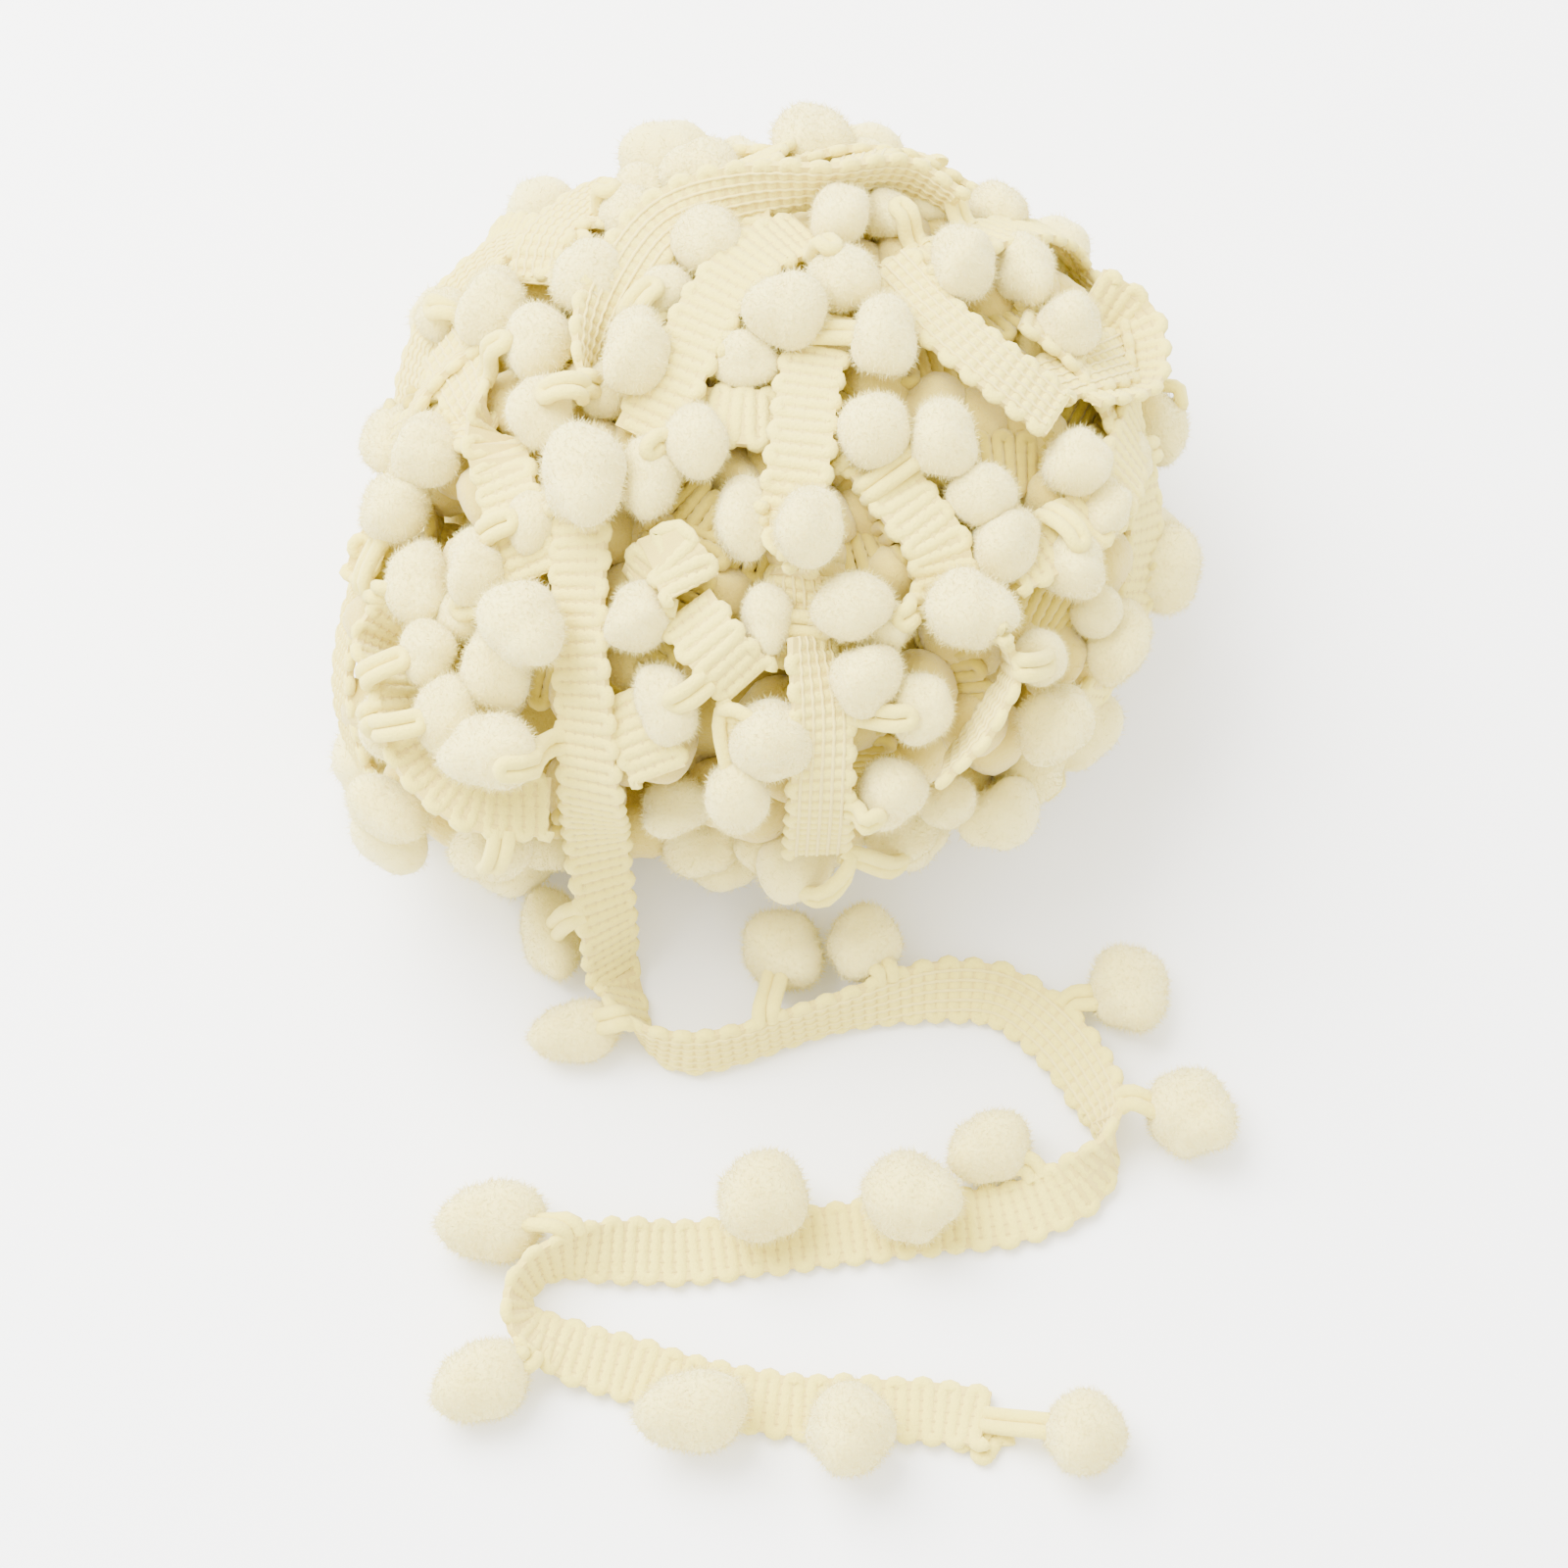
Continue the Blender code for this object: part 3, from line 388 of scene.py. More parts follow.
def warp_paths(tape, outside, under, beneath):
    """Threads along the tape, over each rib at one height and down into each groove at another."""
    stations_per_rib = RIB_PITCH / STATION_PITCH
    at = np.arange(0.0, len(tape["middle"]) - 1, 0.5 * stations_per_rib)
    height = np.where(np.arange(len(at)) % 2 == 1, outside, under) * (-1 if beneath else 1)
    return [station_point(tape, at, np.full(len(at), across), height) for across in WARP_PLACES]


def path_object(name, paths):
    """Loose edges through each path's points, with the yarn's fullness and facing where a path has them."""
    mesh = bpy.data.meshes.new(name)
    edges, first = [], 0
    for path in paths:
        edges += [(first + step, first + step + 1) for step in range(len(path) - 1)]
        first += len(path)
    mesh.from_pydata([tuple(point[:3]) for path in paths for point in path], edges, [])
    points = [point for path in paths for point in path]
    fullness = mesh.attributes.new("fullness", "FLOAT", "POINT")
    fullness.data.foreach_set("value", [point[3] if len(point) > 3 else 1.0 for point in points])
    facing = mesh.attributes.new("facing", "FLOAT_VECTOR", "POINT")
    ways = [point[4:] if len(point) > 3 else UP for point in points]
    facing.data.foreach_set("vector", [part for way in ways for part in way])
    return link_object(name, mesh)


def begin_tree(name, inputs):
    """A tree that takes a geometry and the named inputs, and gives a geometry."""
    tree = bpy.data.node_groups.new(name, "GeometryNodeTree")
    for label, kind, default in [("Geometry", "Geometry", None), *inputs]:
        socket = tree.interface.new_socket(label, in_out="INPUT", socket_type="NodeSocket" + kind)
        if default is not None:
            socket.default_value = default
    tree.interface.new_socket("Geometry", in_out="OUTPUT", socket_type="NodeSocketGeometry")
    return tree, tree.nodes.new("NodeGroupInput")


def end_tree(tree, given, geometry, surface):
    """Makes a tree's instances real and gives them the material of a named input."""
    real = tree.nodes.new("GeometryNodeRealizeInstances")
    dress = tree.nodes.new("GeometryNodeSetMaterial")
    result = tree.nodes.new("NodeGroupOutput")
    tree.links.new(geometry, real.inputs["Geometry"])
    tree.links.new(real.outputs["Geometry"], dress.inputs["Geometry"])
    tree.links.new(given.outputs[surface], dress.inputs["Material"])
    tree.links.new(dress.outputs["Geometry"], result.inputs["Geometry"])
    return tree


def yarn_tree(name, pressed):
    """Lays a yarn along every path: a round one, or one that is pressed flat against the tape's facing."""
    tree, given = begin_tree(name, [("Yarn radius", "Float", 1.0 * MM), ("Sides", "Int", 6),
                                    ("Yarn", "Material", None)])
    nodes, links = tree.nodes, tree.links
    route = nodes.new("GeometryNodeMeshToCurve")
    section = nodes.new("GeometryNodeCurvePrimitiveCircle")
    sweep = nodes.new("GeometryNodeCurveToMesh")
    sweep.inputs["Fill Caps"].default_value = True
    fullness = nodes.new("GeometryNodeInputNamedAttribute")
    fullness.inputs["Name"].default_value = "fullness"
    smooth = nodes.new("GeometryNodeSetShadeSmooth")
    links.new(given.outputs["Geometry"], route.inputs["Mesh"])
    links.new(given.outputs["Sides"], section.inputs["Resolution"])
    links.new(given.outputs["Yarn radius"], section.inputs["Radius"])
    if pressed:
        facing = nodes.new("GeometryNodeInputNamedAttribute")
        facing.data_type = "FLOAT_VECTOR"
        facing.inputs["Name"].default_value = "facing"
        turn = nodes.new("GeometryNodeSetCurveNormal")
        turn.mode = "FREE"
        press = nodes.new("GeometryNodeTransform")
        press.inputs["Scale"].default_value = (PRESSED, 1.0, 1.0)
        links.new(route.outputs["Curve"], turn.inputs["Curve"])
        links.new(facing.outputs["Attribute"], turn.inputs["Normal"])
        links.new(turn.outputs["Curve"], sweep.inputs["Curve"])
        links.new(section.outputs["Curve"], press.inputs["Geometry"])
        links.new(press.outputs["Geometry"], sweep.inputs["Profile Curve"])
    else:
        links.new(route.outputs["Curve"], sweep.inputs["Curve"])
        links.new(section.outputs["Curve"], sweep.inputs["Profile Curve"])
    links.new(fullness.outputs["Attribute"], sweep.inputs["Scale"])
    links.new(sweep.outputs["Mesh"], smooth.inputs["Geometry"])
    return end_tree(tree, given, smooth.outputs["Geometry"], "Yarn")


def grow(name, source, tree, sizes):
    """Runs a tree on a source object and keeps the result as a plain mesh object."""
    modifier = source.modifiers.new("Grow", "NODES")
    modifier.node_group = tree
    for item in tree.interface.items_tree:
        if item.in_out == "INPUT" and item.name in sizes:
            modifier[item.identifier] = sizes[item.name]
    evaluated = source.evaluated_get(bpy.context.evaluated_depsgraph_get())
    mesh = bpy.data.meshes.new_from_object(evaluated)
    source.modifiers.remove(modifier)
    bpy.data.objects.remove(source, do_unlink=True)
    mesh.name = name
    return link_object(name, mesh)


def web_mesh(name, tapes, width, thick, surface):
    """The flat woven ground that the ribs stand on, one thin closed strip for each tape."""
    vertices, faces = [], []
    for tape in tapes:
        first = len(vertices)
        steps = np.arange(0.0, len(tape["middle"]) - 0.5, 2.0)
        for a, b in ((-1, -1), (1, -1), (1, 1), (-1, 1)):
            sideways = np.full(len(steps), 0.5 * width * a)
            upwards = np.full(len(steps), 0.5 * thick * b)
            vertices += [tuple(point) for point in station_point(tape, steps, sideways, upwards)]
        rows = len(steps)
        for side in range(4):
            here, there = first + side * rows, first + (side + 1) % 4 * rows
            faces += [(here + row, there + row, there + row + 1, here + row + 1) for row in range(rows - 1)]
        faces.append(tuple(first + side * rows for side in range(4))[::-1])
        faces.append(tuple(first + side * rows + rows - 1 for side in range(4)))
    shape = bmesh.new()
    mesh = bpy.data.meshes.new(name)
    mesh.from_pydata(vertices, [], faces)
    shape.from_mesh(mesh)
    bmesh.ops.recalc_face_normals(shape, faces=shape.faces)
    shape.to_mesh(mesh)
    shape.free()
    mesh.materials.append(surface)
    return link_object(name, mesh)


weft_yarn = yarn_material("weft_yarn", TAPE_COLOUR, TAPE_SHADE, grain=1900.0, relief=0.5 * MM)
# The warp thread, a little darker than the weft as painted shade.
warp_thread = yarn_material("warp_thread", WARP_COLOUR_AND_PAINTED_SHADE, WARP_CLOUD_AND_PAINTED_SHADE, grain=3200.0, relief=0.15 * MM)
# The inner windings' weft, in painted shade.
deep_yarn_painted_shade = yarn_material("shaded_weft_yarn", DEEP_TAPE_PAINTED_SHADE, DEEP_TAPE_PAINTED_SHADE_CLOUD, grain=2600.0,
                          relief=0.22 * MM)
# The stitches' thread, in painted shade.
stitch_thread_painted_shade = yarn_material("stitch_thread_painted_shade", STITCH_PAINTED_SHADE, STITCH_PAINTED_SHADE_CLOUD, grain=3200.0, relief=0.15 * MM)
# The woven ground, in painted shade.
web_cloth_painted_shade = yarn_material("woven_ground", WEB_PAINTED_SHADE, WEB_PAINTED_SHADE_CLOUD, grain=3000.0, relief=0.2 * MM)
lay_yarn = yarn_tree("Lay round yarn along paths", False)
lay_weft = yarn_tree("Lay pressed yarn along paths", True)

random = np.random.default_rng(WINDING_SEED)
outer_tapes, deep_tapes = [], []
for rows in BALL_STRIPS.values():
    points = [on_ball(across, down, (lift + STRIP_LIFT) * MM) for across, down, lift, _ in rows]
    normals = [ball_normal(point) for point in points]
    outer_tapes.append(tape_stations(points, normals, [row[3] for row in rows], STATION_PITCH))


def winding(bearing, rise, slant, spread, lift, turn):
    """An arc of tape round the ball, met at its middle in the direction of a bearing and a rise."""
    points, normals = [], []
    for step in np.linspace(-1, 1, 8):
        climb = rise + spread * step * math.cos(slant)
        angle = bearing + spread * step * math.sin(slant) / max(0.35, math.cos(rise))
        direction = np.array([math.cos(angle) * math.cos(climb), math.sin(angle) * math.cos(climb),
                              math.sin(climb)])
        spot = outward_place(unit(direction))
        spot[2] = max(spot[2], WINDING_LOWEST)
        points.append(spot + ball_normal(spot) * (lift + WINDING_WAVER * math.sin(3 * step)))
        normals.append(ball_normal(spot))
    rolls = turn + WINDING_LEAN * np.sin(np.linspace(0, 5, 8) + bearing)
    return tape_stations(points, normals, rolls, STATION_PITCH)


for step in range(WINDINGS_BEHIND):
    bearing = math.radians(BEHIND_FROM + BEHIND_SPAN * (step + 0.5) / WINDINGS_BEHIND)
    outer_tapes.append(winding(bearing, random.uniform(-0.15, 0.35), random.uniform(-1.2, 1.2),
                               random.uniform(0.55, 0.8), random.uniform(0.5, 3.0) * MM,
                               random.choice([0, 180])))
for step in range(WINDINGS_BENEATH):
    bearing = math.radians(360 * (step + 0.5) / WINDINGS_BENEATH)
    deep_tapes.append(winding(bearing, random.uniform(0.1, 1.0), random.uniform(-1.4, 1.4),
                              random.uniform(0.4, 0.6), random.uniform(-5.0, -2.5) * MM,
                              random.choice([0, 60, 180])))

wefts = [weft_path(tape, random) for tape in outer_tapes]
ball_weft = grow("ball_tape_weft", path_object("weft_paths", wefts), lay_weft,
                 {"Yarn radius": WEFT_RADIUS, "Sides": WEFT_SIDES, "Yarn": weft_yarn})
backs = [path for tape in outer_tapes for path in warp_paths(tape, WARP_OVER_RIB, WARP_IN_GROOVE, True)]
ball_warp = grow("ball_tape_warp", path_object("warp_paths", backs), lay_yarn,
                 {"Yarn radius": WARP_RADIUS, "Sides": 4, "Yarn": warp_thread})
faces = [path[1::2] for tape in outer_tapes
         for path in warp_paths(tape, STITCH_HEIGHT, STITCH_HEIGHT, False)]
ball_stitches = grow("ball_tape_stitches", path_object("stitch_paths", faces), lay_yarn,
                     {"Yarn radius": STITCH_RADIUS, "Sides": 4, "Yarn": stitch_thread_painted_shade})
ball_web = web_mesh("ball_tape_ground", outer_tapes, WEB_WIDTH, WEB_THICK, web_cloth_painted_shade)
deep_wefts = [weft_path(tape, random) for tape in deep_tapes]
deep_weft = grow("ball_inner_tape", path_object("deep_paths", deep_wefts), lay_weft,
                 {"Yarn radius": WEFT_RADIUS, "Sides": 6, "Yarn": deep_yarn_painted_shade})
for piece in (ball_weft, ball_warp, ball_stitches, ball_web, deep_weft):
    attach(piece, "root")
    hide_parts("ball")


# The ball's pompoms.
# Each is an egg of combed cotton felt drawn in at its waist by the loop that holds it, with a short fuzz. The
# seen ones lie where the photograph shows them. Others fill the gaps, the far side and the underside.
BALL_POMPOMS = [
    (712, 175, 80, 70, 20, 5), (656, 192, 60, 54, 0, 2), (643, 217, 66, 60, 0, 4),
    (600, 282, 92, 72, 60, 6), (502, 312, 90, 70, 85, 5), (454, 321, 64, 56, 60, 3),
    (544, 351, 80, 70, 80, 5), (550, 417, 80, 68, 80, 6), (723, 244, 80, 72, 10, 5),
    (679, 297, 62, 54, 10, 3), (649, 357, 95, 70, 80, 8), (622, 396, 66, 54, 90, 2),
    (800, 312, 84, 78, 0, 9), (762, 366, 68, 60, 0, 4), (708, 450, 85, 62, 105, 7),
    (382, 447, 74, 60, 80, 3), (435, 459, 78, 72, 90, 5), (404, 516, 78, 72, 100, 5),
    (658, 489, 85, 64, 85, 5), (757, 528, 88, 60, 92, 3), (541, 531, 75, 50, 90, 3),
    (424, 597, 90, 64, 85, 4), (484, 579, 78, 60, 90, 5), (471, 627, 60, 52, 90, 1),
    (433, 666, 66, 56, 80, 5), (504, 681, 88, 72, 100, 3), (453, 729, 90, 64, 80, 6),
    (394, 740, 80, 58, 100, 0), (651, 630, 74, 66, 60, 5), (679, 717, 95, 60, 115, 4),
    (780, 633, 72, 52, 90, 2), (788, 756, 86, 82, 0, 6), (750, 814, 92, 62, 95, 7),
    (715, 864, 88, 68, 10, 1), (785, 866, 72, 66, 0, 1), (396, 829, 102, 57, 5, 2),
    (501, 862, 82, 80, 0, 3), (562, 866, 66, 54, 90, -3), (823, 536, 84, 72, 80, 11),
    (870, 616, 90, 66, 20, 5), (883, 691, 80, 72, 30, 5), (904, 640, 60, 54, 0, 1),
    (939, 721, 78, 66, 120, 4), (991, 627, 94, 80, 165, 7), (1026, 552, 82, 68, 60, 4),
    (1002, 502, 78, 62, 20, 4), (1093, 576, 76, 72, 80, 3), (1128, 519, 68, 58, 70, 4),
    (1101, 471, 78, 66, 70, 5), (1201, 583, 87, 80, 90, 4), (1146, 657, 90, 60, 30, 3),
    (1062, 669, 60, 56, 0, 2), (1077, 738, 90, 82, 0, 4), (1074, 813, 82, 68, 75, 1),
    (970, 820, 66, 48, 80, 1), (907, 810, 78, 68, 70, 5), (927, 862, 78, 58, 20, 2),
    (1119, 621, 60, 54, 0, 0), (830, 135, 90, 78, 15, 4), (890, 138, 62, 56, 120, 1),
    (858, 217, 78, 58, 90, 7), (904, 219, 54, 50, 90, 3), (946, 206, 58, 52, 0, 1),
    (862, 283, 80, 68, 0, 6), (900, 342, 98, 68, 80, 8), (982, 267, 82, 72, 80, 7),
    (1020, 216, 68, 58, 0, 2), (1044, 276, 82, 64, 80, 3), (1093, 327, 72, 66, 60, 5),
    (889, 438, 85, 72, 80, 6), (960, 447, 90, 72, 80, 6), (1198, 432, 78, 66, 160, 3),
    (1165, 387, 46, 40, 90, 1), (1150, 466, 62, 54, 90, 0), (688, 828, 72, 62, 60, -1),
]
POMPOMS_ALL_ROUND = 150
POMPOMS_BENEATH = 215
BEHIND_FACING = -0.10
LOWEST_OUTWARD = -0.62
LOWEST_BENEATH = -0.9
BAND_HANGS_FREE = {"across": (570, 660), "down": (835, 965)}
POMPOM_LENGTH = 15.0 * MM
POMPOM_WIDTH = 12.8 * MM
POMPOM_OFF_TABLE = 0.5 * MM
WAIST_PINCH = 0.07
LUMPS = 0.23
FULLNESS = 1.0
FUZZ_LENGTH = 0.095
FUZZ_WIDTH = 0.0048
FUZZ_LEAN = 1.0
FUZZ_NEAR = 2500
FUZZ_FAR = 700
FUZZ_DEEP = 60
PRESSED_FLAT = 0.1 * MM
POMPOM_SHAPES = 6
SHAPE_SEED = 100
FUZZ_SEED = 10
FAR_LIFT = (2.0, 5.0)
DEEP_LIFT = (-7.5, -4.0)
FELT_COLOUR = (0.92, 0.82, 0.30)
FELT_CLOUD = (0.87, 0.75, 0.22)
# Painted shade: the pompoms deep in the gaps and underneath are the same ivory felt, coloured dark yellow.
FELT_PAINTED_SHADE = (0.72, 0.57, 0.10)
FELT_PAINTED_SHADE_CLOUD = (0.62, 0.48, 0.06)


def felt_material(name, colour, cloud):
    """Combed cotton: light passes a little way in, and the surface is a mat of fine fibres."""
    made = yarn_material(name, colour, cloud, grain=1500.0, relief=0.5 * MM)
    shader = made.node_tree.nodes["Principled BSDF"]
    shader.inputs["Subsurface Weight"].default_value = 0.25
    shader.inputs["Subsurface Radius"].default_value = (1.0, 0.8, 0.5)
    shader.inputs["Subsurface Scale"].default_value = 2.0 * MM
    shader.inputs["Sheen Weight"].default_value = 0.4
    return made


def pompom_axes(turn, out):
    """Long axis as it shows in the photograph, and two axes across it."""
    angle = math.radians(turn)
    long_axis = np.array([math.cos(angle), 0.0, 0.0]) + UPWARD * math.sin(angle)
    long_axis = unit(long_axis - out * (long_axis @ out))
    return long_axis, np.cross(out, long_axis), out


def half_height(axes, length, width):
    """How far a pompom reaches below its middle."""
    long_axis, side, out = axes
    return 0.5 * math.sqrt((length * long_axis[2]) ** 2 + (width * side[2]) ** 2 + (width * out[2]) ** 2)


def pompom_shape(number, detail):
    """A pompom one unit long and wide, lying along X, with its own lumps."""
    own = np.random.default_rng(SHAPE_SEED + number)
    waves = own.normal(size=(5, 3)) * 1.8
    phases = own.uniform(0, 6.28, 5)
    shape = bmesh.new()
    bmesh.ops.create_icosphere(shape, subdivisions=detail, radius=0.5)
    for vertex in shape.verts:
        way = np.array(vertex.co) * 2
        lump = FULLNESS + LUMPS * np.sin(waves @ way + phases).mean()
        pinch = 1 - WAIST_PINCH * math.exp(-((way[0] - 0.1 * (number - 1.5)) / 0.22) ** 2)
        swell = 1 + 0.05 * (-1) ** number * way[0]
        girth = lump * pinch * swell
        vertex.co = Vector((way[0] * lump, way[1] * girth, way[2] * girth)) * 0.5
    mesh = bpy.data.meshes.new(f"pompom_shape_{number}")
    shape.to_mesh(mesh)
    shape.free()
    mesh.shade_smooth()
    return link_object(f"pompom_shape_{number}", mesh)


def fuzz_tree():
    """Stands fine fibres on a shape, each leaning its own way."""
    tree, given = begin_tree("Raise fuzz", [("Fibre", "Object", None), ("Fibres to the area", "Float", 100.0),
                                            ("Seed", "Int", 1), ("Lean", "Float", 0.9),
                                            ("Felt", "Material", None)])
    nodes, links = tree.nodes, tree.links
    scatter = nodes.new("GeometryNodeDistributePointsOnFaces")
    fibre = nodes.new("GeometryNodeObjectInfo")
    lean = nodes.new("FunctionNodeRandomValue")
    lean.data_type = "FLOAT_VECTOR"
    reverse = nodes.new("ShaderNodeMath")
    reverse.operation = "MULTIPLY"
    reverse.inputs[1].default_value = -1.0
    low = nodes.new("ShaderNodeCombineXYZ")
    high = nodes.new("ShaderNodeCombineXYZ")
    low.inputs["Z"].default_value = -3.14
    high.inputs["Z"].default_value = 3.14
    tilt = nodes.new("FunctionNodeRotateRotation")
    tilt.rotation_space = "LOCAL"
    stand = nodes.new("GeometryNodeInstanceOnPoints")
    size = nodes.new("FunctionNodeRandomValue")
    size.inputs["Min"].default_value = 0.45
    size.inputs["Max"].default_value = 1.25
    join = nodes.new("GeometryNodeJoinGeometry")
    links.new(given.outputs["Geometry"], scatter.inputs["Mesh"])
    links.new(given.outputs["Fibres to the area"], scatter.inputs["Density"])
    links.new(given.outputs["Seed"], scatter.inputs["Seed"])
    links.new(given.outputs["Fibre"], fibre.inputs["Object"])
    links.new(given.outputs["Lean"], reverse.inputs[0])
    for corner in ("X", "Y"):
        links.new(reverse.outputs["Value"], low.inputs[corner])
        links.new(given.outputs["Lean"], high.inputs[corner])
    links.new(low.outputs["Vector"], lean.inputs["Min"])
    links.new(high.outputs["Vector"], lean.inputs["Max"])
    links.new(given.outputs["Seed"], lean.inputs["Seed"])
    links.new(scatter.outputs["Rotation"], tilt.inputs["Rotation"])
    links.new(lean.outputs["Value"], tilt.inputs["Rotate By"])
    links.new(scatter.outputs["Points"], stand.inputs["Points"])
    links.new(fibre.outputs["Geometry"], stand.inputs["Instance"])
    links.new(tilt.outputs["Rotation"], stand.inputs["Rotation"])
    links.new([output for output in size.outputs if output.enabled][0], stand.inputs["Scale"])
    links.new(given.outputs["Geometry"], join.inputs["Geometry"])
    links.new(stand.outputs["Instances"], join.inputs["Geometry"])
    return end_tree(tree, given, join.outputs["Geometry"], "Felt")


def scatter_tree():
    """Puts one of a collection's shapes on each point, turned and sized by the point's own values."""
    tree, given = begin_tree("Place pompoms", [("Shapes", "Collection", None), ("Felt", "Material", None)])
    nodes, links = tree.nodes, tree.links
    shapes = nodes.new("GeometryNodeCollectionInfo")
    shapes.inputs["Separate Children"].default_value = True
    values = {}
    for name in ("turned", "sized"):
        values[name] = nodes.new("GeometryNodeInputNamedAttribute")
        values[name].data_type = "FLOAT_VECTOR"
        values[name].inputs["Name"].default_value = name
    number = nodes.new("GeometryNodeInputNamedAttribute")
    number.data_type = "INT"
    number.inputs["Name"].default_value = "number"
    turn = nodes.new("FunctionNodeEulerToRotation")
    place = nodes.new("GeometryNodeInstanceOnPoints")
    place.inputs["Pick Instance"].default_value = True
    links.new(given.outputs["Shapes"], shapes.inputs["Collection"])
    links.new(given.outputs["Geometry"], place.inputs["Points"])
    links.new(shapes.outputs["Instances"], place.inputs["Instance"])
    links.new(number.outputs["Attribute"], place.inputs["Instance Index"])
    links.new(values["turned"].outputs["Attribute"], turn.inputs["Euler"])
    links.new(turn.outputs["Rotation"], place.inputs["Rotation"])
    links.new(values["sized"].outputs["Attribute"], place.inputs["Scale"])
    return end_tree(tree, given, place.outputs["Instances"], "Felt")


def fuzzy_shapes(name, detail, fibres, felt):
    """A collection of the pompom shapes with their fuzz raised."""
    group = bpy.data.collections.new(name)
    for number in range(POMPOM_SHAPES):
        shape = grow(f"{name}_{number}", pompom_shape(number, detail), raise_fuzz,
                     {"Fibre": fibre, "Fibres to the area": fibres / math.pi, "Seed": FUZZ_SEED + number,
                      "Lean": FUZZ_LEAN, "Felt": felt})
        bpy.context.collection.objects.unlink(shape)
        group.objects.link(shape)
    return group


def pompoms_at(name, places, shapes, felt):
    """One mesh of pompoms, each given by its middle, axes, length and width."""
    mesh = bpy.data.meshes.new(name + "_places")
    mesh.from_pydata([tuple(centre) for centre, _, _, _ in places], [], [])
    turned = [Matrix([Vector(axis) for axis in axes]).transposed().to_euler() for _, axes, _, _ in places]
    sized = [(length, width, width) for _, _, length, width in places]
    for attribute, rows in (("turned", turned), ("sized", sized)):
        layer = mesh.attributes.new(attribute, "FLOAT_VECTOR", "POINT")
        layer.data.foreach_set("vector", [float(value) for row in rows for value in row])
    layer = mesh.attributes.new("number", "INT", "POINT")
    layer.data.foreach_set("value", [place * 5 % POMPOM_SHAPES for place in range(len(places))])
    pompoms = grow(name, link_object(name + "_places", mesh), place_pompoms,
                   {"Shapes": shapes, "Felt": felt})
    for vertex in pompoms.data.vertices:
        vertex.co.z = max(vertex.co.z, PRESSED_FLAT)
    return pompoms


fibre_mesh = bpy.data.meshes.new("fibre")
fibre_corners = [(-FUZZ_WIDTH, 0, 0), (FUZZ_WIDTH, 0, 0), (0.3 * FUZZ_LENGTH, 0, FUZZ_LENGTH)]
fibre_mesh.from_pydata(fibre_corners, [], [(0, 1, 2)])
fibre = link_object("fibre", fibre_mesh)
felt = felt_material("pompom_felt_ivory", FELT_COLOUR, FELT_CLOUD)
# Felt of the deep pompoms, in painted shade.
deep_felt_painted_shade = felt_material("pompom_felt_shaded", FELT_PAINTED_SHADE, FELT_PAINTED_SHADE_CLOUD)
raise_fuzz = fuzz_tree()
place_pompoms = scatter_tree()
near_shapes = fuzzy_shapes("near_shape", 4, FUZZ_NEAR, felt)
far_shapes = fuzzy_shapes("far_shape", 4, FUZZ_FAR, felt)
deep_shapes = fuzzy_shapes("deep_shape", 3, FUZZ_DEEP, deep_felt_painted_shade)

near_places = []
for across, down, length, width, turn, lift in BALL_POMPOMS:
    centre = on_ball(across, down, lift * MM)
    size = MM_PER_PIXEL * MM * (centre - EYE) @ FORWARD / VIEW_DISTANCE
    axes = pompom_axes(turn, ball_normal(centre))
    centre[2] = max(centre[2], half_height(axes, length * size, width * size) + POMPOM_OFF_TABLE)
    near_places.append((centre, axes, length * size, width * size))


def pixel_of(point):
    """Pixel of the photograph at which a point shows."""
    offset = point - EYE
    scale = VIEW_DISTANCE / (offset @ FORWARD) / (MM_PER_PIXEL * MM)
    return PICTURE_MIDDLE + offset[0] * scale, PICTURE_MIDDLE - (offset @ UPWARD) * scale


def before_the_band(centre):
    """Whether a pompom would stand before the loose band, where it hangs free of the ball."""
    across, down = pixel_of(centre)
    left, right = BAND_HANGS_FREE["across"]
    top, bottom = BAND_HANGS_FREE["down"]
    return left < across < right and top < down < bottom and centre[1] < 0


def even_directions(count):
    """Directions spread evenly all round."""
    golden = math.pi * (3 - math.sqrt(5))
    for step in range(count):
        height = 1 - 2 * (step + 0.5) / count
        ring = math.sqrt(1 - height * height)
        yield np.array([ring * math.cos(step * golden), ring * math.sin(step * golden), height])


far_places = []
for direction in even_directions(POMPOMS_ALL_ROUND):
    turned_away = direction @ -FORWARD < BEHIND_FACING
    low_in_front = direction[1] < -0.4 and direction[2] < -0.12
    if (turned_away or low_in_front) and direction[2] > LOWEST_OUTWARD:
        spot = outward_place(direction)
        out = ball_normal(spot)
        axes = pompom_axes(random.uniform(0, 180), out)
        length = POMPOM_LENGTH * random.uniform(0.92, 1.1)
        width = POMPOM_WIDTH * random.uniform(0.92, 1.08)
        centre = spot + out * random.uniform(*FAR_LIFT) * MM
        centre[2] = max(centre[2], half_height(axes, length, width) + POMPOM_OFF_TABLE)
        if not before_the_band(centre):
            far_places.append((centre, axes, length, width))

deep_places = []
for direction in even_directions(POMPOMS_BENEATH):
    if direction[2] > LOWEST_BENEATH:
        spot = outward_place(unit(direction + random.normal(scale=0.05, size=3)))
        out = ball_normal(spot)
        lean = unit(out + random.normal(scale=0.35, size=3))
        axes = pompom_axes(random.uniform(0, 180), lean)
        centre = spot + out * random.uniform(*DEEP_LIFT) * MM
        centre[2] = max(centre[2], 0.5 * POMPOM_LENGTH + 1.0 * MM)
        deep_places.append((centre, axes, POMPOM_LENGTH * random.uniform(0.85, 1.0), POMPOM_WIDTH))

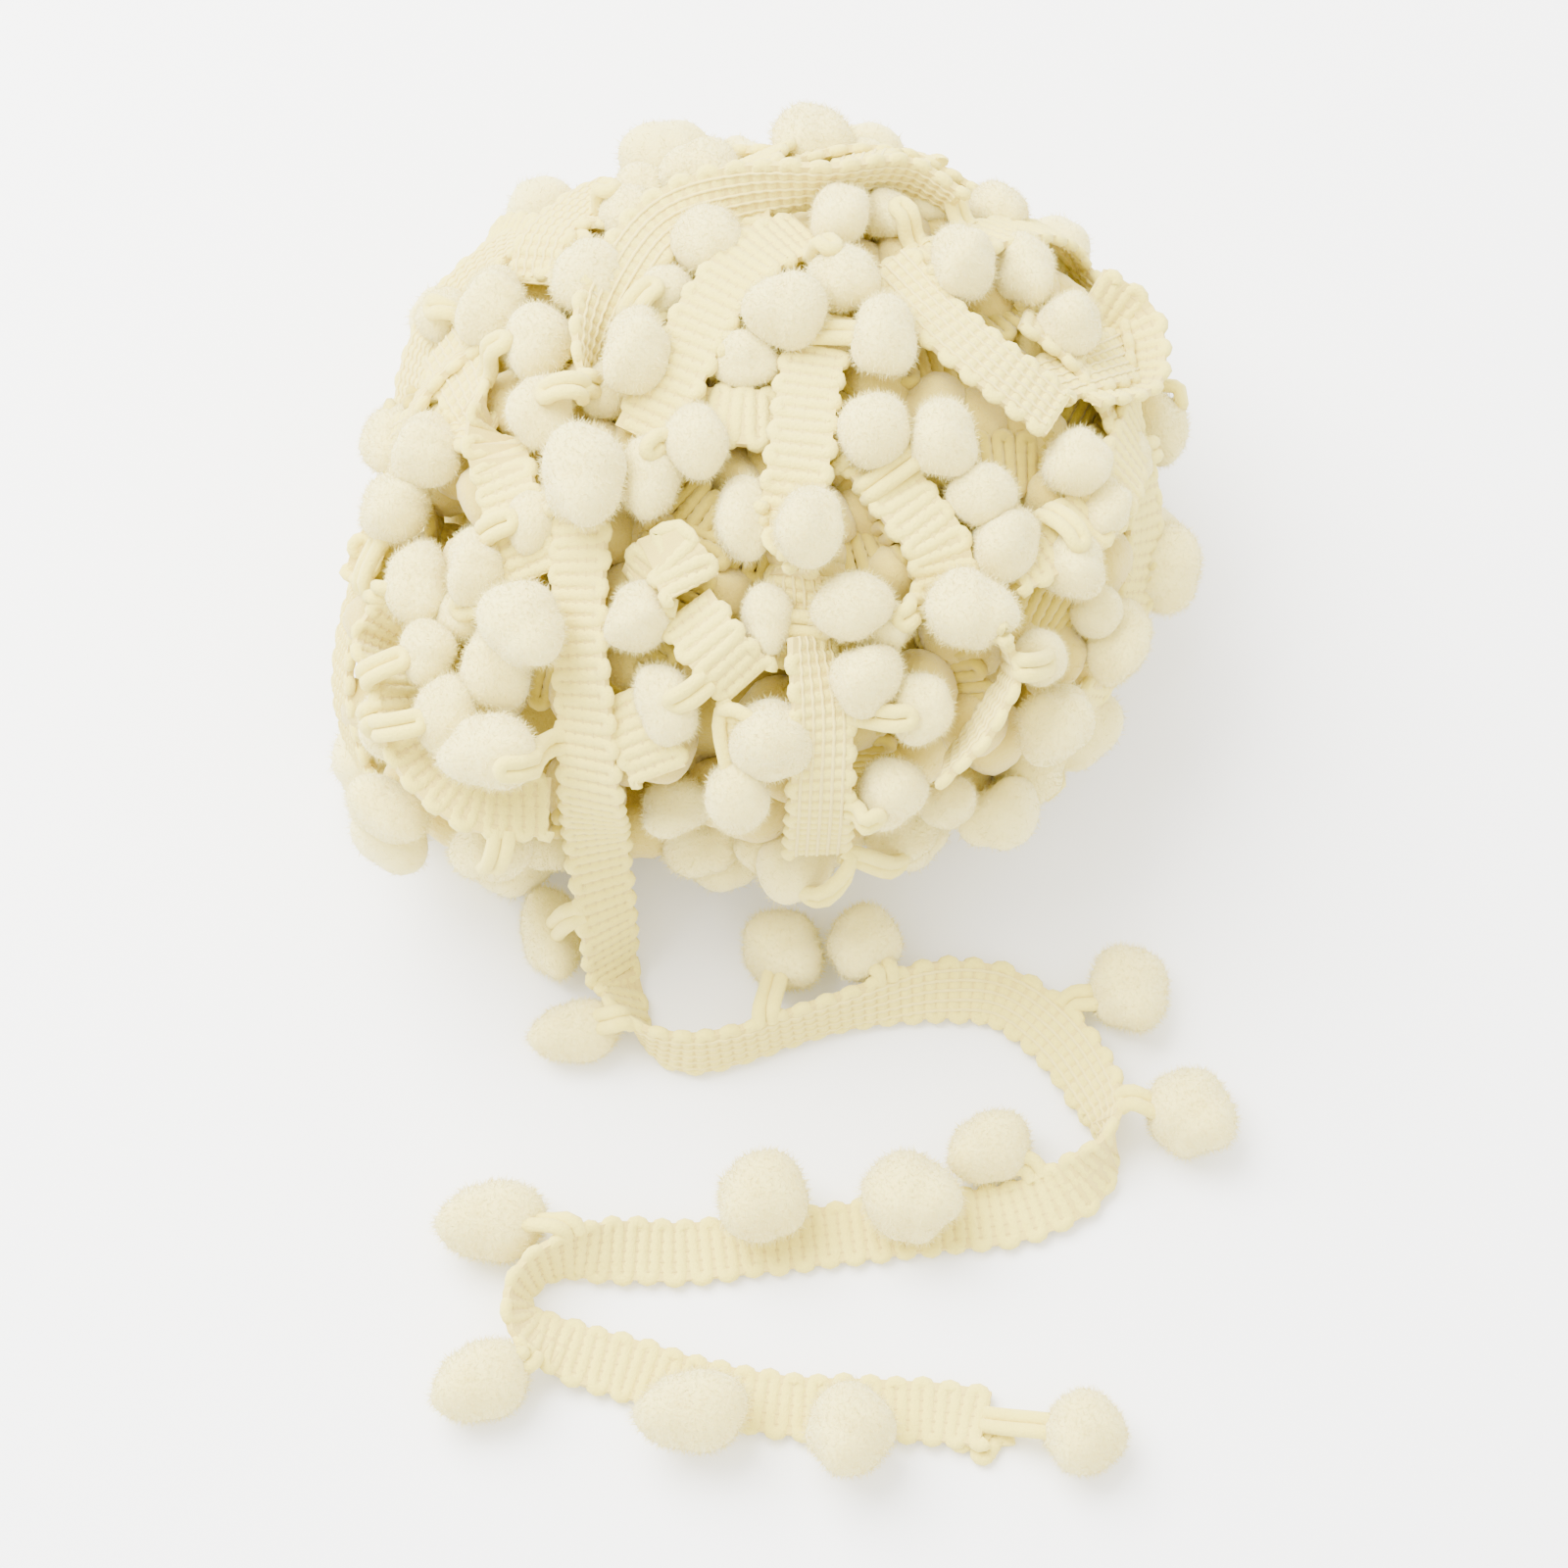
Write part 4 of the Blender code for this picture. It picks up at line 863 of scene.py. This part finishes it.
half_of_them = len(near_places) // 2
ball_left_pompoms = pompoms_at("ball_pompoms_left", near_places[:half_of_them], near_shapes, felt)
ball_right_pompoms = pompoms_at("ball_pompoms_right", near_places[half_of_them:], near_shapes, felt)
ball_far_pompoms = pompoms_at("ball_pompoms_behind", far_places, far_shapes, felt)
ball_deep_pompoms = pompoms_at("ball_pompoms_beneath", deep_places, deep_shapes, deep_felt_painted_shade)
for piece in (ball_left_pompoms, ball_right_pompoms, ball_far_pompoms, ball_deep_pompoms):
    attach(piece, "root")
    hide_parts("ball")


# The ball's loops.
# Each pompom hangs on a loop of the weft yarn: two lengths side by side that leave the tape's edge and close
# in a bend drawn tight on the pompom's waist. Here each reaches the nearest run of tape.
LOOP_RADIUS = 1.28 * MM
LOOP_APART = 2.35 * MM
LOOP_REACH = 4.0 * MM
LONGEST_LOOP = 19.0 * MM
LOOP_SHOWS_ABOVE = -2.0 * MM
LOOP_LIES_AT = 1.10
LOOP_BURIED_AT = 0.6
LOOP_ROOT_INSET = 1.2 * MM
LOOP_BEND = np.radians([25, 58, 90, 122, 155])


def loop_path(root, leave, along, place, shown):
    """The yarn's path from the tape to the pompom, round a tight bend on its waist or inside it, and back."""
    centre, (long_axis, side, out), length, width = place
    towards = unit(centre - root)
    tip_side = unit(out * 0.8 - towards * 0.6) if shown else unit(out * 0.2 - towards)
    egg = np.column_stack([long_axis / length, side / width, out / width])
    surface = 0.5 / np.linalg.norm(tip_side @ egg)
    tip = centre + tip_side * surface * (LOOP_LIES_AT if shown else LOOP_BURIED_AT)
    before = tip - towards * 0.35 * width + out * (0.15 if shown else 0.03) * width
    knee = root + leave * LOOP_REACH + out * 0.5 * MM
    steps = np.linspace(0, 1, 7)[:, None]
    line = ((1 - steps) ** 3 * root + 3 * steps * (1 - steps) ** 2 * knee
            + 3 * steps ** 2 * (1 - steps) * before + steps ** 3 * tip)
    if shown:
        offset = line - centre
        depth = np.linalg.norm(offset @ egg, axis=1) * 2
        line = centre + offset / np.minimum(depth / LOOP_LIES_AT, 1.0)[:, None]
    ahead = np.gradient(line, axis=0)
    ahead /= np.linalg.norm(ahead, axis=1)[:, None]
    apart = along - ahead * (ahead @ along)[:, None]
    apart /= np.linalg.norm(apart, axis=1)[:, None]
    half = 0.5 * LOOP_APART
    bend = [tip + ahead[-1] * half * math.sin(turn) + apart[-1] * half * math.cos(turn)
            for turn in LOOP_BEND]
    return np.vstack([line + apart * half, bend, (line - apart * half)[::-1]])


def shows_on(start, place):
    """Whether a loop comes over its pompom, from a tape that lies beside it and as high."""
    centre, (_, _, out), _, width = place
    offset = start - centre
    beside = np.linalg.norm(offset - out * (offset @ out))
    return beside > 0.6 * width and offset @ out > LOOP_SHOWS_ABOVE


edge_points = np.vstack([tape["middle"] + tape["edge"] * 0.5 * TAPE_WIDTH for tape in outer_tapes])
edge_ways = np.vstack([tape["edge"] for tape in outer_tapes])
edge_aheads = np.vstack([tape["ahead"] for tape in outer_tapes])
ball_loops = []
for place in near_places + far_places:
    distance = np.linalg.norm(edge_points - place[0], axis=1)
    station = int(np.argmin(distance))
    if distance[station] < LONGEST_LOOP:
        start = edge_points[station] - edge_ways[station] * LOOP_ROOT_INSET
        shown = shows_on(start, place)
        ball_loops.append(loop_path(start, edge_ways[station], edge_aheads[station], place, shown))
loops = grow("ball_loops", path_object("loop_paths", ball_loops), lay_yarn,
             {"Yarn radius": LOOP_RADIUS, "Sides": 7, "Yarn": weft_yarn})
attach(loops, "root")
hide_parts("ball")


# The tape's loose end.
# About 0.43 m of the same tape comes down over the ball's near side and lies on the table in an S. It turns
# over at three places, where it stands on its edge. Its end is cut square, with a corner turned under.
BAND_ON_BALL = [
    (592, 442, 4.0, 0), (592, 490, 3.8, -8), (592, 560, 3.8, -15), (590, 640, 3.8, -18),
    (596, 720, 4.0, -15), (602, 800, 4.2, -8),
]
BAND_HANGING = [(610, 868, 33.0, 12), (620, 945, 18.0, 32)]
BAND_HANGING_FACE = np.array([0.0, -0.75, 0.65])
TAPE_ON_TABLE = [
    (630, 1004, 40), (644, 1036, 60), (660, 1058, 88), (700, 1074, 108), (745, 1068, 106), (800, 1050, 104),
    (880, 1026, 112), (960, 1010, 148), (1020, 1016, 172), (1072, 1050, 164), (1108, 1095, 150),
    (1130, 1140, 118), (1130, 1172, 72), (1098, 1210, 30), (1040, 1236, 8), (950, 1248, 0),
    (800, 1266, 0), (690, 1278, 4), (625, 1276, 28), (582, 1280, 62), (545, 1296, 74),
    (528, 1322, 72), (536, 1350, 50), (575, 1376, 14), (640, 1396, 0), (720, 1420, 0),
    (800, 1434, 0), (900, 1438, 0), (980, 1444, 4), (1012, 1450, 10),
]
TURNED_END = [(974, 1456), (1000, 1470), (1024, 1484)]
TURNED_WIDTH = 6.5 * MM
TURNED_HEIGHT = 1.3 * MM
TAPE_STAND = 1.35 * MM
SCALLOPS_REACH = 0.54 * TAPE_WIDTH
EDGE_REACH = 0.42 * TAPE_WIDTH
TABLE_GAP = 0.35 * MM
LEAST_GAP = 0.2 * MM


def at_height(across, down, height):
    """Point at a height over the table that shows at a pixel."""
    ray = view_ray(across, down)
    return EYE + ray * ((height - EYE[2]) / ray[2])


points, normals, rolls = [], [], []
for across, down, lift, roll in BAND_ON_BALL:
    points.append(on_ball(across, down, lift * MM))
    normals.append(ball_normal(points[-1]))
    rolls.append(roll)
for across, down, height, roll in BAND_HANGING:
    points.append(at_height(across, down, height * MM))
    normals.append(unit(BAND_HANGING_FACE))
    rolls.append(roll)
for across, down, roll in TAPE_ON_TABLE:
    stand = SCALLOPS_REACH * abs(math.sin(math.radians(roll)))
    lie = TAPE_STAND * abs(math.cos(math.radians(roll)))
    points.append(at_height(across, down, stand + lie + TABLE_GAP))
    normals.append(UP)
    rolls.append(roll)
loose = tape_stations(points, normals, rolls, STATION_PITCH)
edge_slope, face_slope = np.abs(loose["edge"][:, 2]), np.abs(loose["face"][:, 2])
lowest = np.maximum(SCALLOPS_REACH * edge_slope, EDGE_REACH * edge_slope + TAPE_STAND * face_slope)
loose["middle"][:, 2] = np.maximum(loose["middle"][:, 2], lowest + LEAST_GAP)

turned_points = [at_height(across, down, TURNED_HEIGHT) for across, down in TURNED_END]
turned_end = tape_stations(turned_points, [UP] * len(TURNED_END), [0] * len(TURNED_END), STATION_PITCH)
loose_paths = [weft_path(loose, random), weft_path(turned_end, random, TURNED_WIDTH)]
loose_weft = grow("loose_tape_weft", path_object("loose_weft_path", loose_paths), lay_weft,
                  {"Yarn radius": WEFT_RADIUS, "Sides": 10, "Yarn": weft_yarn})
back = warp_paths(loose, WARP_OVER_RIB, WARP_IN_GROOVE, True)
loose_warp = grow("loose_tape_warp", path_object("loose_warp", back), lay_yarn,
                  {"Yarn radius": WARP_RADIUS, "Sides": 6, "Yarn": warp_thread})
stitches = [path[1::2] for path in warp_paths(loose, STITCH_HEIGHT, STITCH_HEIGHT, False)]
loose_stitches = grow("loose_tape_stitches", path_object("loose_stitches", stitches), lay_yarn,
                      {"Yarn radius": STITCH_RADIUS, "Sides": 5, "Yarn": stitch_thread_painted_shade})
loose_web = web_mesh("loose_tape_ground", [loose], WEB_WIDTH, WEB_THICK, web_cloth_painted_shade)
for piece in (loose_web, loose_weft, loose_warp, loose_stitches):
    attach(piece, "root")
    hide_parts("loose_tape")


# The loose end's pompoms.
# The first lies on the band, four more hang or lie beside it, and the others lie round the S on the table or
# on the tape, each on its own loop. The last one's loop leaves the tape's cut end.
LOOSE_POMPOMS = [
    (590, 487, 17.0, 13.5, 95, "band", 560, 520), (530, 642, 15.0, 13.0, 130, "ball", 560, 628),
    (497, 765, 16.5, 12.5, 8, "ball", 568, 757), (560, 954, 16.5, 10.5, 98, "table", 600, 928),
    (585, 1049, 15.5, 10.5, 10, "table", 641, 1030), (797, 973, 14.8, 13.4, 120, "table", 782, 1034),
    (877, 962, 13.2, 12.4, 60, "tape", 908, 998), (1149, 1011, 15.0, 13.5, 100, "table", 1098, 1015),
    (1214, 1139, 15.5, 14.5, 130, "table", 1158, 1122), (1006, 1168, 14.5, 12.0, 25, "table", 1056, 1204),
    (930, 1226, 16.5, 15.0, 160, "tape", 932, 1216), (773, 1219, 15.5, 15.0, 40, "tape", 790, 1236),
    (500, 1241, 18.0, 13.5, 5, "table", 590, 1262), (487, 1406, 16.5, 13.0, 25, "table", 546, 1384),
    (704, 1434, 18.5, 13.5, 5, "tape", 660, 1436), (862, 1458, 15.0, 14.5, 70, "tape", 842, 1470),
    (1102, 1461, 13.5, 13.5, 60, "table", 1045, 1480),
]
BAND_LIFT = 4.4 * MM
END_LOOP_INSET = 1.5 * MM
POMPOM_UNDER_LOOP = 3

edge_pixels = np.array([pixel_of(point) for point in loose["middle"] + loose["edge"] * 0.5 * TAPE_WIDTH])
loose_pieces = []
for number, (across, down, length, width, turn, rest, root_across, root_down) in enumerate(LOOSE_POMPOMS, 1):
    half = 0.5 * width * MM
    if rest == "band":
        centre = on_ball(across, down, BAND_LIFT + TAPE_STAND + TABLE_GAP + half)
        out = ball_normal(centre)
    elif rest == "ball":
        centre = on_ball(across, down, BAND_LIFT + TABLE_GAP + half)
        out = ball_normal(centre)
    else:
        lies_on = 2 * TAPE_STAND + 2 * TABLE_GAP if rest == "tape" else TABLE_GAP
        centre = at_height(across, down, half + lies_on)
        out = UP
    place = (centre, pompom_axes(turn, out), length * MM, width * MM)
    station = int(np.argmin(np.linalg.norm(edge_pixels - (root_across, root_down), axis=1)))
    edge, ahead = loose["edge"][station], loose["ahead"][station]
    if station == len(edge_pixels) - 1:
        path = loop_path(loose["middle"][station] - ahead * END_LOOP_INSET, ahead, edge, place, False)
    else:
        start = loose["middle"][station] + edge * (0.5 * TAPE_WIDTH - LOOP_ROOT_INSET)
        path = loop_path(start, edge, ahead, place, number == POMPOM_UNDER_LOOP)
    name = f"pompom_{number:02d}"
    body = pompoms_at(f"{name}_felt", [place], near_shapes, felt)
    loop = grow(f"{name}_loop", path_object(f"{name}_loop_path", [path]), lay_yarn,
                {"Yarn radius": LOOP_RADIUS, "Sides": 10, "Yarn": weft_yarn})
    for piece, slot in ((body, "pompom_felt"), (loop, "tape_yarn")):
        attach(piece, "root")
        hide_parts(name)
    loose_pieces += [body, loop]

for helper in [*near_shapes.objects, *far_shapes.objects, *deep_shapes.objects, fibre]:
    bpy.data.objects.remove(helper, do_unlink=True)
